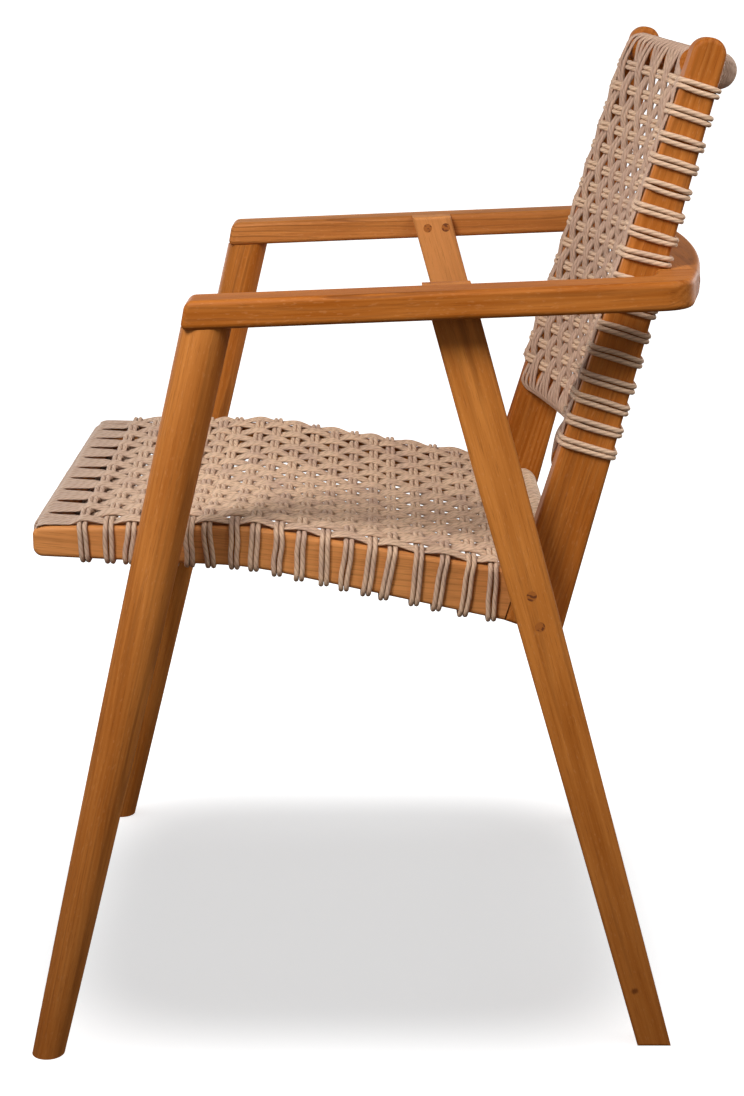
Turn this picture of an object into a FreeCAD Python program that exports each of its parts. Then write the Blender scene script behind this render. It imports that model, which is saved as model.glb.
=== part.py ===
import FreeCAD, Part
import math
import os

import Sketcher
from FreeCAD import Vector

# A garden chair of oiled hardwood with a woven cord seat and back. Millimetres, +Z up, the front
# faces -Y, the sitter's left is +X, and the origin is on the floor below the middle of the chair.
# Two frames make it: four legs under a hoop of two arms and a bowed rail, and a narrower seat and
# back frame that hangs between the legs and carries the weave.

DIMS = {
    # Seat and back frame: two cranked side rails and two back posts, flush on their outer faces
    "frame_outer_x": 207.0,
    "frame_thickness": 25.0,
    "frame_edge_radius": 4.0,
    # Seat side rails, seen from the side
    "seat_front_y": -288.41,
    "seat_top_z": 448.0,
    "seat_level_length": 177.14,
    "seat_fall_angle": 9.76,
    "seat_bend_radius": 260.0,
    "seat_rail_front_height": 25.4,
    "seat_rail_end_radius": 8.0,
    "seat_belly_length": 177.14,
    "seat_belly_height": 34.2,
    "seat_belly_radius": 320.0,
    "seat_rail_rear_height": 42.0,
    # Back posts, seen from the side: their front and rear edges close towards the tip
    "back_foot_y": 122.73,
    "back_height": 388.0,
    "post_depth": 47.0,
    "post_lean_angle": 16.6,
    "post_rear_lean_angle": 13.95,
    "post_foot_drop": 16.8,
    "post_tip_radius": 13.4,
    # Seat front rail: a rounded bar between the side rails, flush with their front ends
    "front_rail_width": 18.0,
    # Seat rear rail: a round bar between the feet of the posts
    "rear_rail_setback": 31.7,
    "rear_rail_drop": 19.0,
    "rear_rail_radius": 13.0,
    # Back rails: bowed round bars, placed along and behind the front edge of the posts
    "back_bar_radius": 12.0,
    "bottom_rail_rise": 57.0,
    "bottom_rail_setback": 12.0,
    "bottom_rail_bow": 40.0,
    "top_rail_tip_drop": 18.0,
    "top_rail_setback": 10.0,
    "top_rail_bow": 43.0,
    # Arms: flat boards that climb to the rear and hook inwards at the corner
    "arm_width": 40.0,
    "arm_thickness": 22.5,
    "arm_front_y": -152.17,
    "arm_height": 196.0,
    "arm_rise_angle": 2.3,
    "arm_hook_length": 28.0,
    "arm_corner_radius": 27.0,
    "arm_hook_radius": 12.0,
    "arm_nose_radius": 8.0,
    "arm_edge_radius": 4.5,
    # Bowed rail that closes the hoop of the arms, let into the rear edges of the posts
    "arm_rail_width": 34.0,
    "arm_rail_bow": 20.0,
    "arm_rail_let_in": 3.0,
    # Front legs: turned, with a slight swell, under the arms
    "front_leg_inset": 21.0,
    "front_leg_setback": 14.5,
    "front_leg_lean_angle": 13.35,
    "front_leg_foot_radius": 13.4,
    "front_leg_top_radius": 19.2,
    "front_leg_swell": 1.2,
    # Rear legs: flat raked boards, let into the inner faces of the arms
    "rear_leg_thickness": 24.0,
    "rear_leg_housing": 9.0,
    "rear_leg_lean_angle": 15.75,
    "rear_leg_foot_width": 27.5,
    "rear_leg_width": 37.0,
    "rear_leg_straight_length": 143.0,
    "rear_leg_edge_radius": 3.0,
    # Front stretcher below the side rails, and the spacer blocks beside the posts
    "stretcher_width": 24.0,
    "stretcher_height": 28.0,
    "spacer_thickness": 19.0,
    "spacer_length": 52.0,
    "spacer_width": 29.0,
    # Screwed joints: countersunk screws below round wooden plugs
    "plug_radius": 4.2,
    "plug_length": 6.0,
    "screw_radius": 2.4,
    "screw_head_length": 3.0,
    "screw_bite": 16.0,
    "seat_joint_drop": 20.8,
    "seat_joint_setback": 16.5,
    "seat_plug_spacing": 27.0,
    "arm_plug_spacing": 18.0,
    # Dowelled joints
    "dowel_radius": 4.5,
    "dowel_depth": 16.0,
    "bow_dowel_depth": 9.0,
    "post_dowel_spacing": 14.0,
    "corner_dowel_spacing": 14.0,
    # Weave: pairs of cord drawn as flat bands, the wefts running over and under the warps
    "band_thickness": 2.0,
    "warp_width": 7.0,
    "weft_width": 8.0,
    "weave_lift": 4.4,
    "cord_clearance": 0.8,
    "tail_length": 8.0,
    "seat_warp_margin": 10.5,
    "seat_sag": 14.0,
    "seat_weft_front_margin": 41.1,
    "seat_weft_rear_margin": 21.9,
    "back_warp_margin": 7.5,
    "back_edge_margin": 12.5,
    "back_weft_bottom_margin": 16.5,
    "back_weft_top_margin": 17.5,
    "back_waist_bow": 34.0,
    # Length by which blanks and cutting tools run past the piece
    "overrun": 40.0,
}

# Places that follow from the sizes. Each may use those above it.
PLACES = {
    # Across the chair, from the seat frame outwards
    "frame_inner_x": "frame_outer_x - frame_thickness",
    "frame_middle_x": "frame_outer_x - frame_thickness / 2",
    "rear_leg_inner_x": "frame_outer_x + spacer_thickness",
    "rear_leg_outer_x": "rear_leg_inner_x + rear_leg_thickness",
    "arm_inner_x": "rear_leg_outer_x - rear_leg_housing",
    "arm_outer_x": "arm_inner_x + arm_width",
    "arm_seam_x": "arm_inner_x - arm_hook_length",
    "front_leg_x": "arm_outer_x - front_leg_inset",
    # Slopes in the side view
    "seat_slope": "tan(seat_fall_angle)",
    "post_slope": "tan(post_lean_angle)",
    "post_rear_slope": "tan(post_rear_lean_angle)",
    "arm_slope": "tan(arm_rise_angle)",
    # Seat side rail, up to the line where it meets the post
    "seat_bend_y": "seat_front_y + seat_level_length",
    "seat_belly_y": "seat_front_y + seat_belly_length",
    "seat_belly_z": "seat_top_z - (seat_belly_y - seat_bend_y) * seat_slope - seat_belly_height",
    "seat_rail_front_z": "seat_top_z - seat_rail_front_height",
    "belly_angle": "atan((seat_rail_front_z - seat_belly_z) / seat_belly_length)",
    "rail_end_y": "(back_foot_y + seat_bend_y * seat_slope * post_slope) / (1 + seat_slope * post_slope)",
    "rail_end_z": "seat_top_z - (rail_end_y - seat_bend_y) * seat_slope",
    "seat_rail_rear_z": "rail_end_z - seat_rail_rear_height",
    "front_rail_y": "seat_front_y + front_rail_width / 2",
    "front_rail_z": "seat_top_z - seat_rail_front_height / 2",
    # Back post and the bars that end in it
    "post_foot_z": "seat_rail_rear_z - post_foot_drop",
    "post_tip_z": "seat_top_z + back_height",
    "post_tip_depth": "post_depth + back_height * (post_rear_slope - post_slope)",
    "rear_rail_z": "rail_end_z - rear_rail_drop",
    "rear_rail_y": "back_foot_y + (rear_rail_z - seat_top_z) * post_slope + rear_rail_setback",
    "top_rail_rise": "back_height / cos(post_lean_angle) - top_rail_tip_drop",
    "bottom_rail_bend": "(frame_inner_x ^ 2 + bottom_rail_bow ^ 2) / (2 * bottom_rail_bow)",
    "top_rail_bend": "(frame_inner_x ^ 2 + top_rail_bow ^ 2) / (2 * top_rail_bow)",
    # Rear leg: it crosses the post at the seat joint, and that sets its foot
    "seat_joint_z": "rail_end_z - seat_joint_drop",
    "seat_joint_y": "back_foot_y + (seat_joint_z - seat_top_z) * post_slope + seat_joint_setback",
    "rear_leg_foot_y": "seat_joint_y + seat_joint_z * tan(rear_leg_lean_angle)",
    # Arms, and their bowed rail behind the posts
    "arm_top_z": "seat_top_z + arm_height",
    "rear_leg_taper_z": "arm_top_z - rear_leg_straight_length",
    "arm_rail_foot_y": "back_foot_y + post_depth - arm_rail_let_in",
    "arm_rail_level": "arm_height - arm_thickness / 2 - arm_front_y * arm_slope",
    "arm_rail_run": "arm_rail_foot_y + arm_rail_level * post_rear_slope",
    "arm_rail_front_y": "arm_rail_run / (1 - arm_slope * post_rear_slope)",
    "arm_rail_rear_y": "arm_rail_front_y + arm_rail_width + arm_rail_bow * (frame_middle_x / arm_seam_x) ^ 2",
    "arm_rail_bend": "(arm_seam_x ^ 2 + arm_rail_bow ^ 2) / (2 * arm_rail_bow)",
    "arm_rail_turn": "arm_rail_rear_y - arm_rail_bend - arm_front_y",
    # Front leg: its top sits below the front end of the arm, and that sets its foot
    "front_leg_top_z": "arm_top_z - arm_thickness",
    "front_leg_top_y": "arm_front_y + front_leg_setback",
    "front_leg_foot_y": "front_leg_top_y - front_leg_top_z * tan(front_leg_lean_angle)",
    "front_leg_length": "front_leg_top_z / cos(front_leg_lean_angle)",
    # Front stretcher: in line with the front legs, its top along the bellies of the side rails
    "stretcher_y": "front_leg_foot_y + (seat_rail_front_z - stretcher_height) * tan(front_leg_lean_angle)",
    "stretcher_top_z": "seat_rail_front_z - (stretcher_y - seat_front_y) * tan(belly_angle)",
    "stretcher_bottom_y": "stretcher_y - stretcher_height * sin(belly_angle)",
    "stretcher_bottom_z": "stretcher_top_z - stretcher_height * cos(belly_angle)",
    # Rows of the weave
    "seat_weft_first_y": "seat_front_y + seat_weft_front_margin",
    "seat_weft_last_y": "rail_end_y - seat_weft_rear_margin",
    "back_weft_first": "bottom_rail_rise + back_weft_bottom_margin",
    "back_weft_last": "top_rail_rise - back_weft_top_margin",
}

SEAT_WARP_COUNT = 20
SEAT_WEFT_COUNT = 19
BACK_WARP_COUNT = 26
BACK_WEFT_COUNT = 16
# Corners of a band where it turns round a bar
BAR_CORNER_COUNT = 6
# Where the seat's bands reach the rear rail, in degrees from its rear upwards
REAR_WRAP_ANGLE = 100
# Where the seat reaches its full sag, as shares of the way from the front to the rear rail
SAG_SHARES = (0.30, 0.715)
# Where the back is least bowed, as a share of the way from its bottom to its top rail
WAIST_SHARE = 0.5
# Largest rounding of the posts' tips, as a share of their depth there
TIP_SHARE = 0.48
# How far a band's corner starts before the edge that it turns round, as a share of its rounding
CORNER_SHARE = 0.62
# How far a band reaches under a rail, as a share of the rail's thickness
UNDER_SHARE = 0.75

doc = FreeCAD.newDocument("garden_chair")
sheet = doc.addObject("Spreadsheet::Sheet", "dims")
for row, (alias, value) in enumerate(DIMS.items(), start=1):
    sheet.set(f"A{row}", alias)
    sheet.set(f"B{row}", str(value))
    sheet.setAlias(f"B{row}", alias)
for row, (alias, formula) in enumerate(PLACES.items(), start=len(DIMS) + 1):
    sheet.set(f"A{row}", alias)
    sheet.set(f"B{row}", f"={formula}")
    sheet.setAlias(f"B{row}", alias)
doc.recompute()


def number(expression):
    """The value of an expression in the sheet's sizes, as a plain number."""
    value = sheet.evalExpression(expression)
    return float(getattr(value, "Value", value))


def place(piece, base, axis=None, angle="0"):
    """Bind a piece's place to expressions: a base point and a turn about one axis."""
    if axis is not None:
        piece.Placement = FreeCAD.Placement(Vector(), FreeCAD.Rotation(axis, 1))
        piece.setExpression("Placement.Rotation.Angle", angle)
    for letter, expression in zip("xyz", base):
        piece.setExpression(f"Placement.Base.{letter}", expression)


X_AXIS = Vector(1, 0, 0)
Y_AXIS = Vector(0, 1, 0)
Z_AXIS = Vector(0, 0, 1)
# Two places closer than this share of the overall length are the same place
MATCH_SHARE = 2e-6
# An edge runs along an axis when its ends are this share of its length apart along it
PARALLEL_SHARE = 0.9
MATCH = number("dims.post_tip_z") * MATCH_SHARE


# Blanks
def sketched(body, role, corners, swell=None):
    """A closed outline whose corners are bound to expressions. Its edges are straight, but one may
    swell to the right of its run: swell is that edge's index and the height of its arc."""
    plane = [item for item in body.Origin.OriginFeatures if item.Role == role][0]
    sketch = body.newObject("Sketcher::SketchObject", f"{body.Name}_outline")
    sketch.AttachmentSupport = (plane, [""])
    sketch.MapMode = "FlatFace"
    points = [Vector(number(across), number(up), 0) for across, up in corners]
    for index, (start, end) in enumerate(zip(points, points[1:] + points[:1])):
        edge = Part.LineSegment(start, end)
        if swell and index == swell[0]:
            run = (end - start).normalize()
            crown = (start + end) * 0.5 + Vector(run.y, -run.x, 0) * number(swell[1])
            edge = Part.Arc(start, crown, end)
        sketch.addGeometry(edge)
    for index, (across, up) in enumerate(corners):
        following = (index + 1) % len(corners)
        sketch.addConstraint(Sketcher.Constraint("Coincident", index, 2, following, 1))
        for kind, expression in (("DistanceX", across), ("DistanceY", up)):
            name = f"{kind}_{index}"
            limit = Sketcher.Constraint(kind, -1, 1, index, 1, number(expression))
            sketch.renameConstraint(sketch.addConstraint(limit), name)
            sketch.setExpression(f"Constraints.{name}", expression)
    if swell:
        (across, up), (next_across, next_up) = corners[swell[0]], corners[swell[0] + 1]
        chord = f"(({next_across} - {across}) ^ 2 + ({next_up} - {up}) ^ 2)"
        radius = f"({chord} / 4 + {swell[1]} ^ 2) / (2 * {swell[1]})"
        limit = Sketcher.Constraint("Radius", swell[0], number(radius))
        sketch.renameConstraint(sketch.addConstraint(limit), "swell")
        sketch.setExpression("Constraints.swell", radius)
    return sketch


def padded(name, role, corners, length, backwards=False):
    """A board: an outline with a thickness."""
    body = doc.addObject("PartDesign::Body", name)
    sketch = sketched(body, role, corners)
    pad = body.newObject("PartDesign::Pad", f"{name}_pad")
    pad.Profile = sketch
    pad.Reversed = backwards
    pad.setExpression("Length", length)
    doc.recompute()
    return body


def turned(name, role, corners, angle="360", swell=None):
    """A turned piece: an outline swung about the sketch's vertical axis, half to each side."""
    body = doc.addObject("PartDesign::Body", name)
    sketch = sketched(body, role, corners, swell)
    turn = body.newObject("PartDesign::Revolution", f"{name}_turn")
    turn.Profile = sketch
    turn.ReferenceAxis = (sketch, ["V_Axis"])
    turn.Midplane = True
    turn.setExpression("Angle", angle)
    doc.recompute()
    return body


def rounded(body, radius, chosen):
    """Round the edges of a body's last feature that the chooser picks."""
    base = body.Tip
    edges = [f"Edge{index}" for index, edge in enumerate(base.Shape.Edges, start=1) if chosen(edge)]
    fillet = body.newObject("PartDesign::Fillet", f"{body.Name}_rounding")
    fillet.Base = (base, edges)
    fillet.setExpression("Radius", radius)
    doc.recompute()
    return body


def along(axis, corner):
    """Chooser for the edge that runs along an axis through a corner of the outline."""
    flat = [index for index in range(3) if not axis[index]]
    goal = [number(expression) for expression in corner]

    def chosen(edge):
        start, end = edge.Vertexes[0].Point, edge.Vertexes[-1].Point
        middle = (start + end) * 0.5
        parallel = abs((end - start).dot(axis)) > PARALLEL_SHARE * edge.Length
        return parallel and math.dist([middle[index] for index in flat], goal) < MATCH
    return chosen


def rim(axis, skip=None):
    """Chooser for the rim of a board's two faces, less the edges whose middle is skipped."""
    def chosen(edge):
        start, end = edge.Vertexes[0].Point, edge.Vertexes[-1].Point
        middle = edge.valueAt((edge.FirstParameter + edge.LastParameter) / 2)
        level = max(abs((point - start).dot(axis)) for point in (middle, end)) < MATCH
        return level and not (skip and skip(middle))
    return chosen


def cylinder(name, radius, length, base, axis=None, angle="0"):
    rod = doc.addObject("Part::Cylinder", name)
    rod.setExpression("Radius", radius)
    rod.setExpression("Height", length)
    place(rod, base, axis, angle)
    return rod


def block(name, lengths, base, axis=None, angle="0"):
    box = doc.addObject("Part::Box", name)
    for label, expression in zip(("Length", "Width", "Height"), lengths):
        box.setExpression(label, expression)
    place(box, base, axis, angle)
    return box


finished = {}


def finish(name, blank, tools=()):
    """Cut the tools out of a blank and keep the result as a piece of the chair."""
    piece = blank
    for index, tool in enumerate(tools, start=1):
        cut = doc.addObject("Part::Cut", f"{name}_cut_{index}")
        cut.Base = piece
        cut.Tool = tool
        piece = cut
    piece.Label = name
    finished[name] = piece
    return piece


def mirrored(name, source):
    twin = doc.addObject("Part::Mirroring", name)
    twin.Source = source
    twin.Normal = X_AXIS
    return twin


def pair(name, left):
    """Keep the right-hand twin of a finished left-hand piece."""
    finished[name] = mirrored(name, left)
    finished[name].Label = name


def group(name, members):
    """Like fasteners in one node, each still a solid of its own, on both sides of the chair."""
    twins = [mirrored(f"{member.Name}_right", member) for member in members]
    cluster = doc.addObject("Part::Compound", name)
    cluster.Links = list(members) + twins
    cluster.Label = name
    finished[name] = cluster
    return twins


def post_front(z):
    """Y of the posts' front edge at a height."""
    return f"(dims.back_foot_y + ({z} - dims.seat_top_z) * dims.post_slope)"


def post_rear(z):
    """Y of the posts' rear edge at a height."""
    return f"(dims.back_foot_y + dims.post_depth + ({z} - dims.seat_top_z) * dims.post_rear_slope)"


def back_point(rise, setback):
    """Y and Z of a place on the back: a rise along the posts' front edge, a setback behind it."""
    y = f"(dims.back_foot_y + {rise} * sin(dims.post_lean_angle) + {setback} * cos(dims.post_lean_angle))"
    z = f"(dims.seat_top_z + {rise} * cos(dims.post_lean_angle) - {setback} * sin(dims.post_lean_angle))"
    return y, z


def arm_point(y, below):
    """Z of the arms' plane at a place along them, and below their top."""
    return f"(dims.arm_top_z + ({y} - dims.arm_front_y) * dims.arm_slope - {below})"


def hoop_rear(x):
    """Y of the rear edge of the hoop that the arms and their rail make."""
    return f"(dims.arm_rail_rear_y - dims.arm_rail_bow * ({x} / dims.arm_seam_x) ^ 2)"


def rear_leg_y(z):
    return f"(dims.rear_leg_foot_y - {z} * tan(dims.rear_leg_lean_angle))"


def in_arm_plane(piece):
    """Lay a piece that was drawn flat, from the arms' front end, in the climbing plane of the arms."""
    place(piece, ("0", "dims.arm_front_y", "dims.arm_top_z"), X_AXIS, "dims.arm_rise_angle")
    return piece


# Screwed and dowelled joints come first, because the same solids bore the pieces that they join.
def screw(name, length, base, axis, angle):
    """A countersunk screw below a plug, both running into the wood from the same place."""
    shoulder = "(dims.plug_length + dims.screw_head_length)"
    corners = [
        ("0", "dims.plug_length"),
        ("dims.plug_radius", "dims.plug_length"),
        ("dims.screw_radius", shoulder),
        ("dims.screw_radius", length),
        ("0", length),
    ]
    shank = turned(f"{name}_screw", "XZ_Plane", corners)
    place(shank, base, axis, angle)
    plug = cylinder(f"{name}_plug", "dims.plug_radius", "dims.plug_length", base, axis, angle)
    return shank, plug


seat_screws, seat_plugs = [], []
for name, side in (("seat_upper", "0.5"), ("seat_lower", "-0.5")):
    joint_z = f"(dims.seat_joint_z + {side} * dims.seat_plug_spacing * cos(dims.rear_leg_lean_angle))"
    reach = "(dims.rear_leg_outer_x - dims.frame_outer_x + dims.screw_bite)"
    shank, plug = screw(name, reach, ("dims.rear_leg_outer_x", rear_leg_y(joint_z), joint_z), Y_AXIS, "-90")
    seat_screws.append(shank)
    seat_plugs.append(plug)

ARM_JOINT_Z = "(dims.arm_top_z - dims.arm_thickness / 2)"
arm_screws, arm_plugs = [], []
for name, side in (("arm_front", "-0.5"), ("arm_rear", "0.5")):
    joint_y = f"({rear_leg_y(ARM_JOINT_Z)} + {side} * dims.arm_plug_spacing)"
    joint_z = arm_point(joint_y, "dims.arm_thickness / 2")
    reach = "(dims.rear_leg_thickness + dims.screw_bite)"
    shank, plug = screw(name, reach, ("dims.rear_leg_inner_x", joint_y, joint_z), Y_AXIS, "90")
    arm_screws.append(shank)
    arm_plugs.append(plug)

HOOP_JOINT_Y = hoop_rear("dims.frame_middle_x")
hoop_screw, hoop_plug = screw(
    "hoop", "(dims.arm_rail_width + dims.screw_bite)",
    ("dims.frame_middle_x", HOOP_JOINT_Y, arm_point(HOOP_JOINT_Y, "dims.arm_thickness / 2")),
    X_AXIS, "90 + dims.arm_rise_angle",
)

stretcher_screw, stretcher_plug = screw(
    "stretcher", "(dims.stretcher_height + dims.screw_bite)",
    ("dims.frame_middle_x", "dims.stretcher_bottom_y", "dims.stretcher_bottom_z"), X_AXIS, "-dims.belly_angle",
)


def dowel(name, base, before, after, axis, angle, run):
    """A dowel through a joint: a depth before the seam and a depth after it, along its run."""
    start = [f"({seam} - {before} * ({part}))" for seam, part in zip(base, run)]
    return cylinder(f"{name}_dowel", "dims.dowel_radius", f"({before} + {after})", start, axis, angle)


def cross_dowel(name, seam_x, y, z, inner="dims.dowel_depth", outer="dims.dowel_depth"):
    return dowel(name, (seam_x, y, z), inner, outer, Y_AXIS, "90", ("1", "0", "0"))


leg_dowel = dowel(
    "arm_leg", ("dims.front_leg_x", "dims.front_leg_top_y", "dims.front_leg_top_z"),
    "dims.dowel_depth", "dims.dowel_depth", X_AXIS, "-dims.front_leg_lean_angle",
    ("0", "sin(dims.front_leg_lean_angle)", "cos(dims.front_leg_lean_angle)"),
)
stretcher_dowel = cross_dowel(
    "stretcher", "(dims.front_leg_x - dims.front_leg_foot_radius)",
    "((dims.stretcher_y + dims.stretcher_bottom_y) / 2)",
    "((dims.stretcher_top_z + dims.stretcher_bottom_z) / 2)",
)
front_rail_dowel = cross_dowel("front_rail", "dims.frame_inner_x", "dims.front_rail_y", "dims.front_rail_z")
rear_rail_dowel = cross_dowel("rear_rail", "dims.frame_inner_x", "dims.rear_rail_y", "dims.rear_rail_z")
bow_dowels = {}
for name in ("bottom_rail", "top_rail"):
    y, z = back_point(f"dims.{name}_rise", f"dims.{name}_setback")
    bow_dowels[name] = cross_dowel(name, "dims.frame_inner_x", y, z, inner="dims.bow_dowel_depth")
post_dowels = []
for name, side in (("post_upper", "0.5"), ("post_lower", "-0.5")):
    seam_z = f"((dims.seat_rail_rear_z + dims.rail_end_z) / 2 + {side} * dims.post_dowel_spacing)"
    post_dowels.append(dowel(
        name, ("dims.frame_middle_x", post_front(seam_z), seam_z), "dims.dowel_depth", "dims.dowel_depth",
        X_AXIS, "-90 - dims.post_lean_angle", ("0", "cos(dims.post_lean_angle)", "-sin(dims.post_lean_angle)"),
    ))
corner_dowels = []
for name, side in (("corner_front", "-0.5"), ("corner_rear", "0.5")):
    middle = f"({hoop_rear('dims.arm_seam_x')} - dims.arm_rail_width / 2 + {side} * dims.corner_dowel_spacing)"
    corner_dowels.append(cross_dowel(
        name, "dims.arm_seam_x", middle, arm_point(middle, "dims.arm_thickness / 2"),
    ))

doc.recompute()
group("seat_joint_screws", seat_screws)
group("seat_joint_plugs", seat_plugs)
group("arm_joint_screws", arm_screws)
group("arm_joint_plugs", arm_plugs)
hoop_twins = group("back_rail_screws", [hoop_screw]) + group("back_rail_plugs", [hoop_plug])
stretcher_twins = group("stretcher_screws", [stretcher_screw]) + group("stretcher_plugs", [stretcher_plug])
group("arm_leg_dowels", [leg_dowel])
stretcher_twins += group("stretcher_dowels", [stretcher_dowel])
front_twin, rear_twin = group("seat_rail_dowels", [front_rail_dowel, rear_rail_dowel])
bottom_twin, top_twin = group("back_rail_dowels", list(bow_dowels.values()))
group("post_rail_dowels", post_dowels)
corner_twins = group("arm_corner_dowels", corner_dowels)

# Rear legs: a raked board, tapered below the seat, its top level with the top of the arm.
HALF_FOOT = "(dims.rear_leg_foot_width / 2 / cos(dims.rear_leg_lean_angle))"
HALF_LEG = "(dims.rear_leg_width / 2 / cos(dims.rear_leg_lean_angle))"


def leg_top(side):
    """Corner where an edge of the rear leg meets the top plane of the arm."""
    rake = "(1 + tan(dims.rear_leg_lean_angle) * dims.arm_slope)"
    level = f"dims.arm_top_z + (dims.rear_leg_foot_y {side} {HALF_LEG} - dims.arm_front_y) * dims.arm_slope"
    z = f"(({level}) / {rake})"
    return f"({rear_leg_y(z)} {side} {HALF_LEG})", z


TAPER_Y = rear_leg_y("dims.rear_leg_taper_z")
leg_blank = padded("rear_leg_blank", "YZ_Plane", [
    (f"(dims.rear_leg_foot_y - {HALF_FOOT})", "0"),
    (f"(dims.rear_leg_foot_y + {HALF_FOOT})", "0"),
    (f"({TAPER_Y} + {HALF_LEG})", "dims.rear_leg_taper_z"),
    leg_top("+"),
    leg_top("-"),
    (f"({TAPER_Y} - {HALF_LEG})", "dims.rear_leg_taper_z"),
], "dims.rear_leg_thickness")
rounded(leg_blank, "dims.rear_leg_edge_radius", rim(X_AXIS))
place(leg_blank, ("dims.rear_leg_inner_x", "0", "0"))
pair("rear_leg_right", finish("rear_leg_left", leg_blank, seat_screws + seat_plugs + arm_screws + arm_plugs))

# Arm back rail: a flat bow behind the posts, from seam to seam of the arms.
hoop_blank = turned("arm_back_rail_blank", "YZ_Plane", [
    ("(dims.arm_rail_bend - dims.arm_rail_width)", "-dims.arm_thickness"),
    ("dims.arm_rail_bend", "-dims.arm_thickness"),
    ("dims.arm_rail_bend", "0"),
    ("(dims.arm_rail_bend - dims.arm_rail_width)", "0"),
], "2 * asin((dims.arm_seam_x + dims.overrun) / dims.arm_rail_bend)")
rounded(hoop_blank, "dims.arm_edge_radius", lambda edge: edge.Length > number("dims.arm_seam_x"))
place(hoop_blank, (
    "0",
    "(dims.arm_front_y + dims.arm_rail_turn * cos(dims.arm_rise_angle))",
    "(dims.arm_top_z + dims.arm_rail_turn * sin(dims.arm_rise_angle))",
), X_AXIS, "dims.arm_rise_angle")
hoop_reach = block(
    "arm_back_rail_reach",
    ("2 * dims.arm_seam_x", "2 * dims.arm_seam_x", "2 * dims.arm_top_z"),
    ("-dims.arm_seam_x", "0", "0"),
)
hoop_rail = doc.addObject("Part::Common", "arm_back_rail_trimmed")
hoop_rail.Base = hoop_blank
hoop_rail.Tool = hoop_reach
finish("arm_back_rail", hoop_rail, corner_dowels + corner_twins + [hoop_screw, hoop_plug] + hoop_twins)

# Arms: drawn in plan from the front end, then laid in their climbing plane.
ARM_PLAN = [
    ("dims.arm_outer_x", "0"),
    ("dims.arm_outer_x", f"({hoop_rear('dims.arm_outer_x')} - dims.arm_front_y)"),
    ("dims.arm_seam_x", f"({hoop_rear('dims.arm_seam_x')} - dims.arm_front_y)"),
    ("dims.arm_seam_x", f"({hoop_rear('dims.arm_seam_x')} - dims.arm_rail_width - dims.arm_front_y)"),
    ("dims.arm_inner_x", f"({hoop_rear('dims.arm_inner_x')} - dims.arm_rail_width - dims.arm_front_y)"),
    ("dims.arm_inner_x", "0"),
]
arm_blank = padded("arm_blank", "XY_Plane", ARM_PLAN, "dims.arm_thickness", backwards=True)
rounded(arm_blank, "dims.arm_corner_radius", along(Z_AXIS, ARM_PLAN[1]))
rounded(arm_blank, "dims.arm_hook_radius", along(Z_AXIS, ARM_PLAN[4]))
squared = arm_blank.Tip
front_faces = [f"Face{index}" for index, face in enumerate(squared.Shape.Faces, start=1)
               if abs(face.CenterOfMass.y) < MATCH]
top_faces = [f"Face{index}" for index, face in enumerate(squared.Shape.Faces, start=1)
             if abs(face.CenterOfMass.z) < MATCH]
nose = arm_blank.newObject("PartDesign::Draft", "arm_nose")
nose.Base = (squared, front_faces)
nose.NeutralPlane = (squared, top_faces)
nose.setExpression("Angle", "dims.front_leg_lean_angle")
doc.recompute()


def nose_top(edge):
    start, end = edge.Vertexes[0].Point, edge.Vertexes[-1].Point
    return max(abs(start.y), abs(end.y), abs(start.z), abs(end.z)) < MATCH


rounded(arm_blank, "dims.arm_nose_radius", nose_top)
SEAM_X = number("dims.arm_seam_x")
rounded(arm_blank, "dims.arm_edge_radius", rim(Z_AXIS, lambda middle: abs(middle.x - SEAM_X) < MATCH))
in_arm_plane(arm_blank)
arm_tools = [leg_blank, leg_dowel] + corner_dowels + arm_screws
pair("arm_right", finish("arm_left", arm_blank, arm_tools))

# Front legs: turned between the floor and the underside of the arm, with a slight swell.
front_leg = turned("front_leg_blank", "XZ_Plane", [
    ("0", "-dims.overrun"),
    ("dims.front_leg_foot_radius", "-dims.overrun"),
    ("dims.front_leg_foot_radius", "0"),
    ("dims.front_leg_top_radius", "dims.front_leg_length"),
    ("dims.front_leg_top_radius", "(dims.front_leg_length + dims.overrun)"),
    ("0", "(dims.front_leg_length + dims.overrun)"),
], swell=(2, "dims.front_leg_swell"))
place(front_leg, ("dims.front_leg_x", "dims.front_leg_foot_y", "0"), X_AXIS, "-dims.front_leg_lean_angle")
floor_cut = block(
    "floor_cut", ("2 * dims.overrun", "2 * dims.overrun", "2 * dims.overrun"),
    ("dims.front_leg_x - dims.overrun", "dims.front_leg_foot_y - dims.overrun", "-2 * dims.overrun"),
)
arm_cut = block(
    "arm_cut", ("2 * dims.overrun", "3 * dims.overrun", "2 * dims.overrun"),
    (
        "dims.front_leg_x - dims.overrun",
        "dims.arm_front_y - dims.overrun * cos(dims.arm_rise_angle)",
        "dims.arm_top_z - dims.arm_thickness * cos(dims.arm_rise_angle) - dims.overrun * sin(dims.arm_rise_angle)",
    ),
    X_AXIS, "dims.arm_rise_angle",
)
front_leg_left = finish("front_leg_left", front_leg, [floor_cut, arm_cut, leg_dowel, stretcher_dowel])
pair("front_leg_right", front_leg_left)
doc.recompute()

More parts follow.
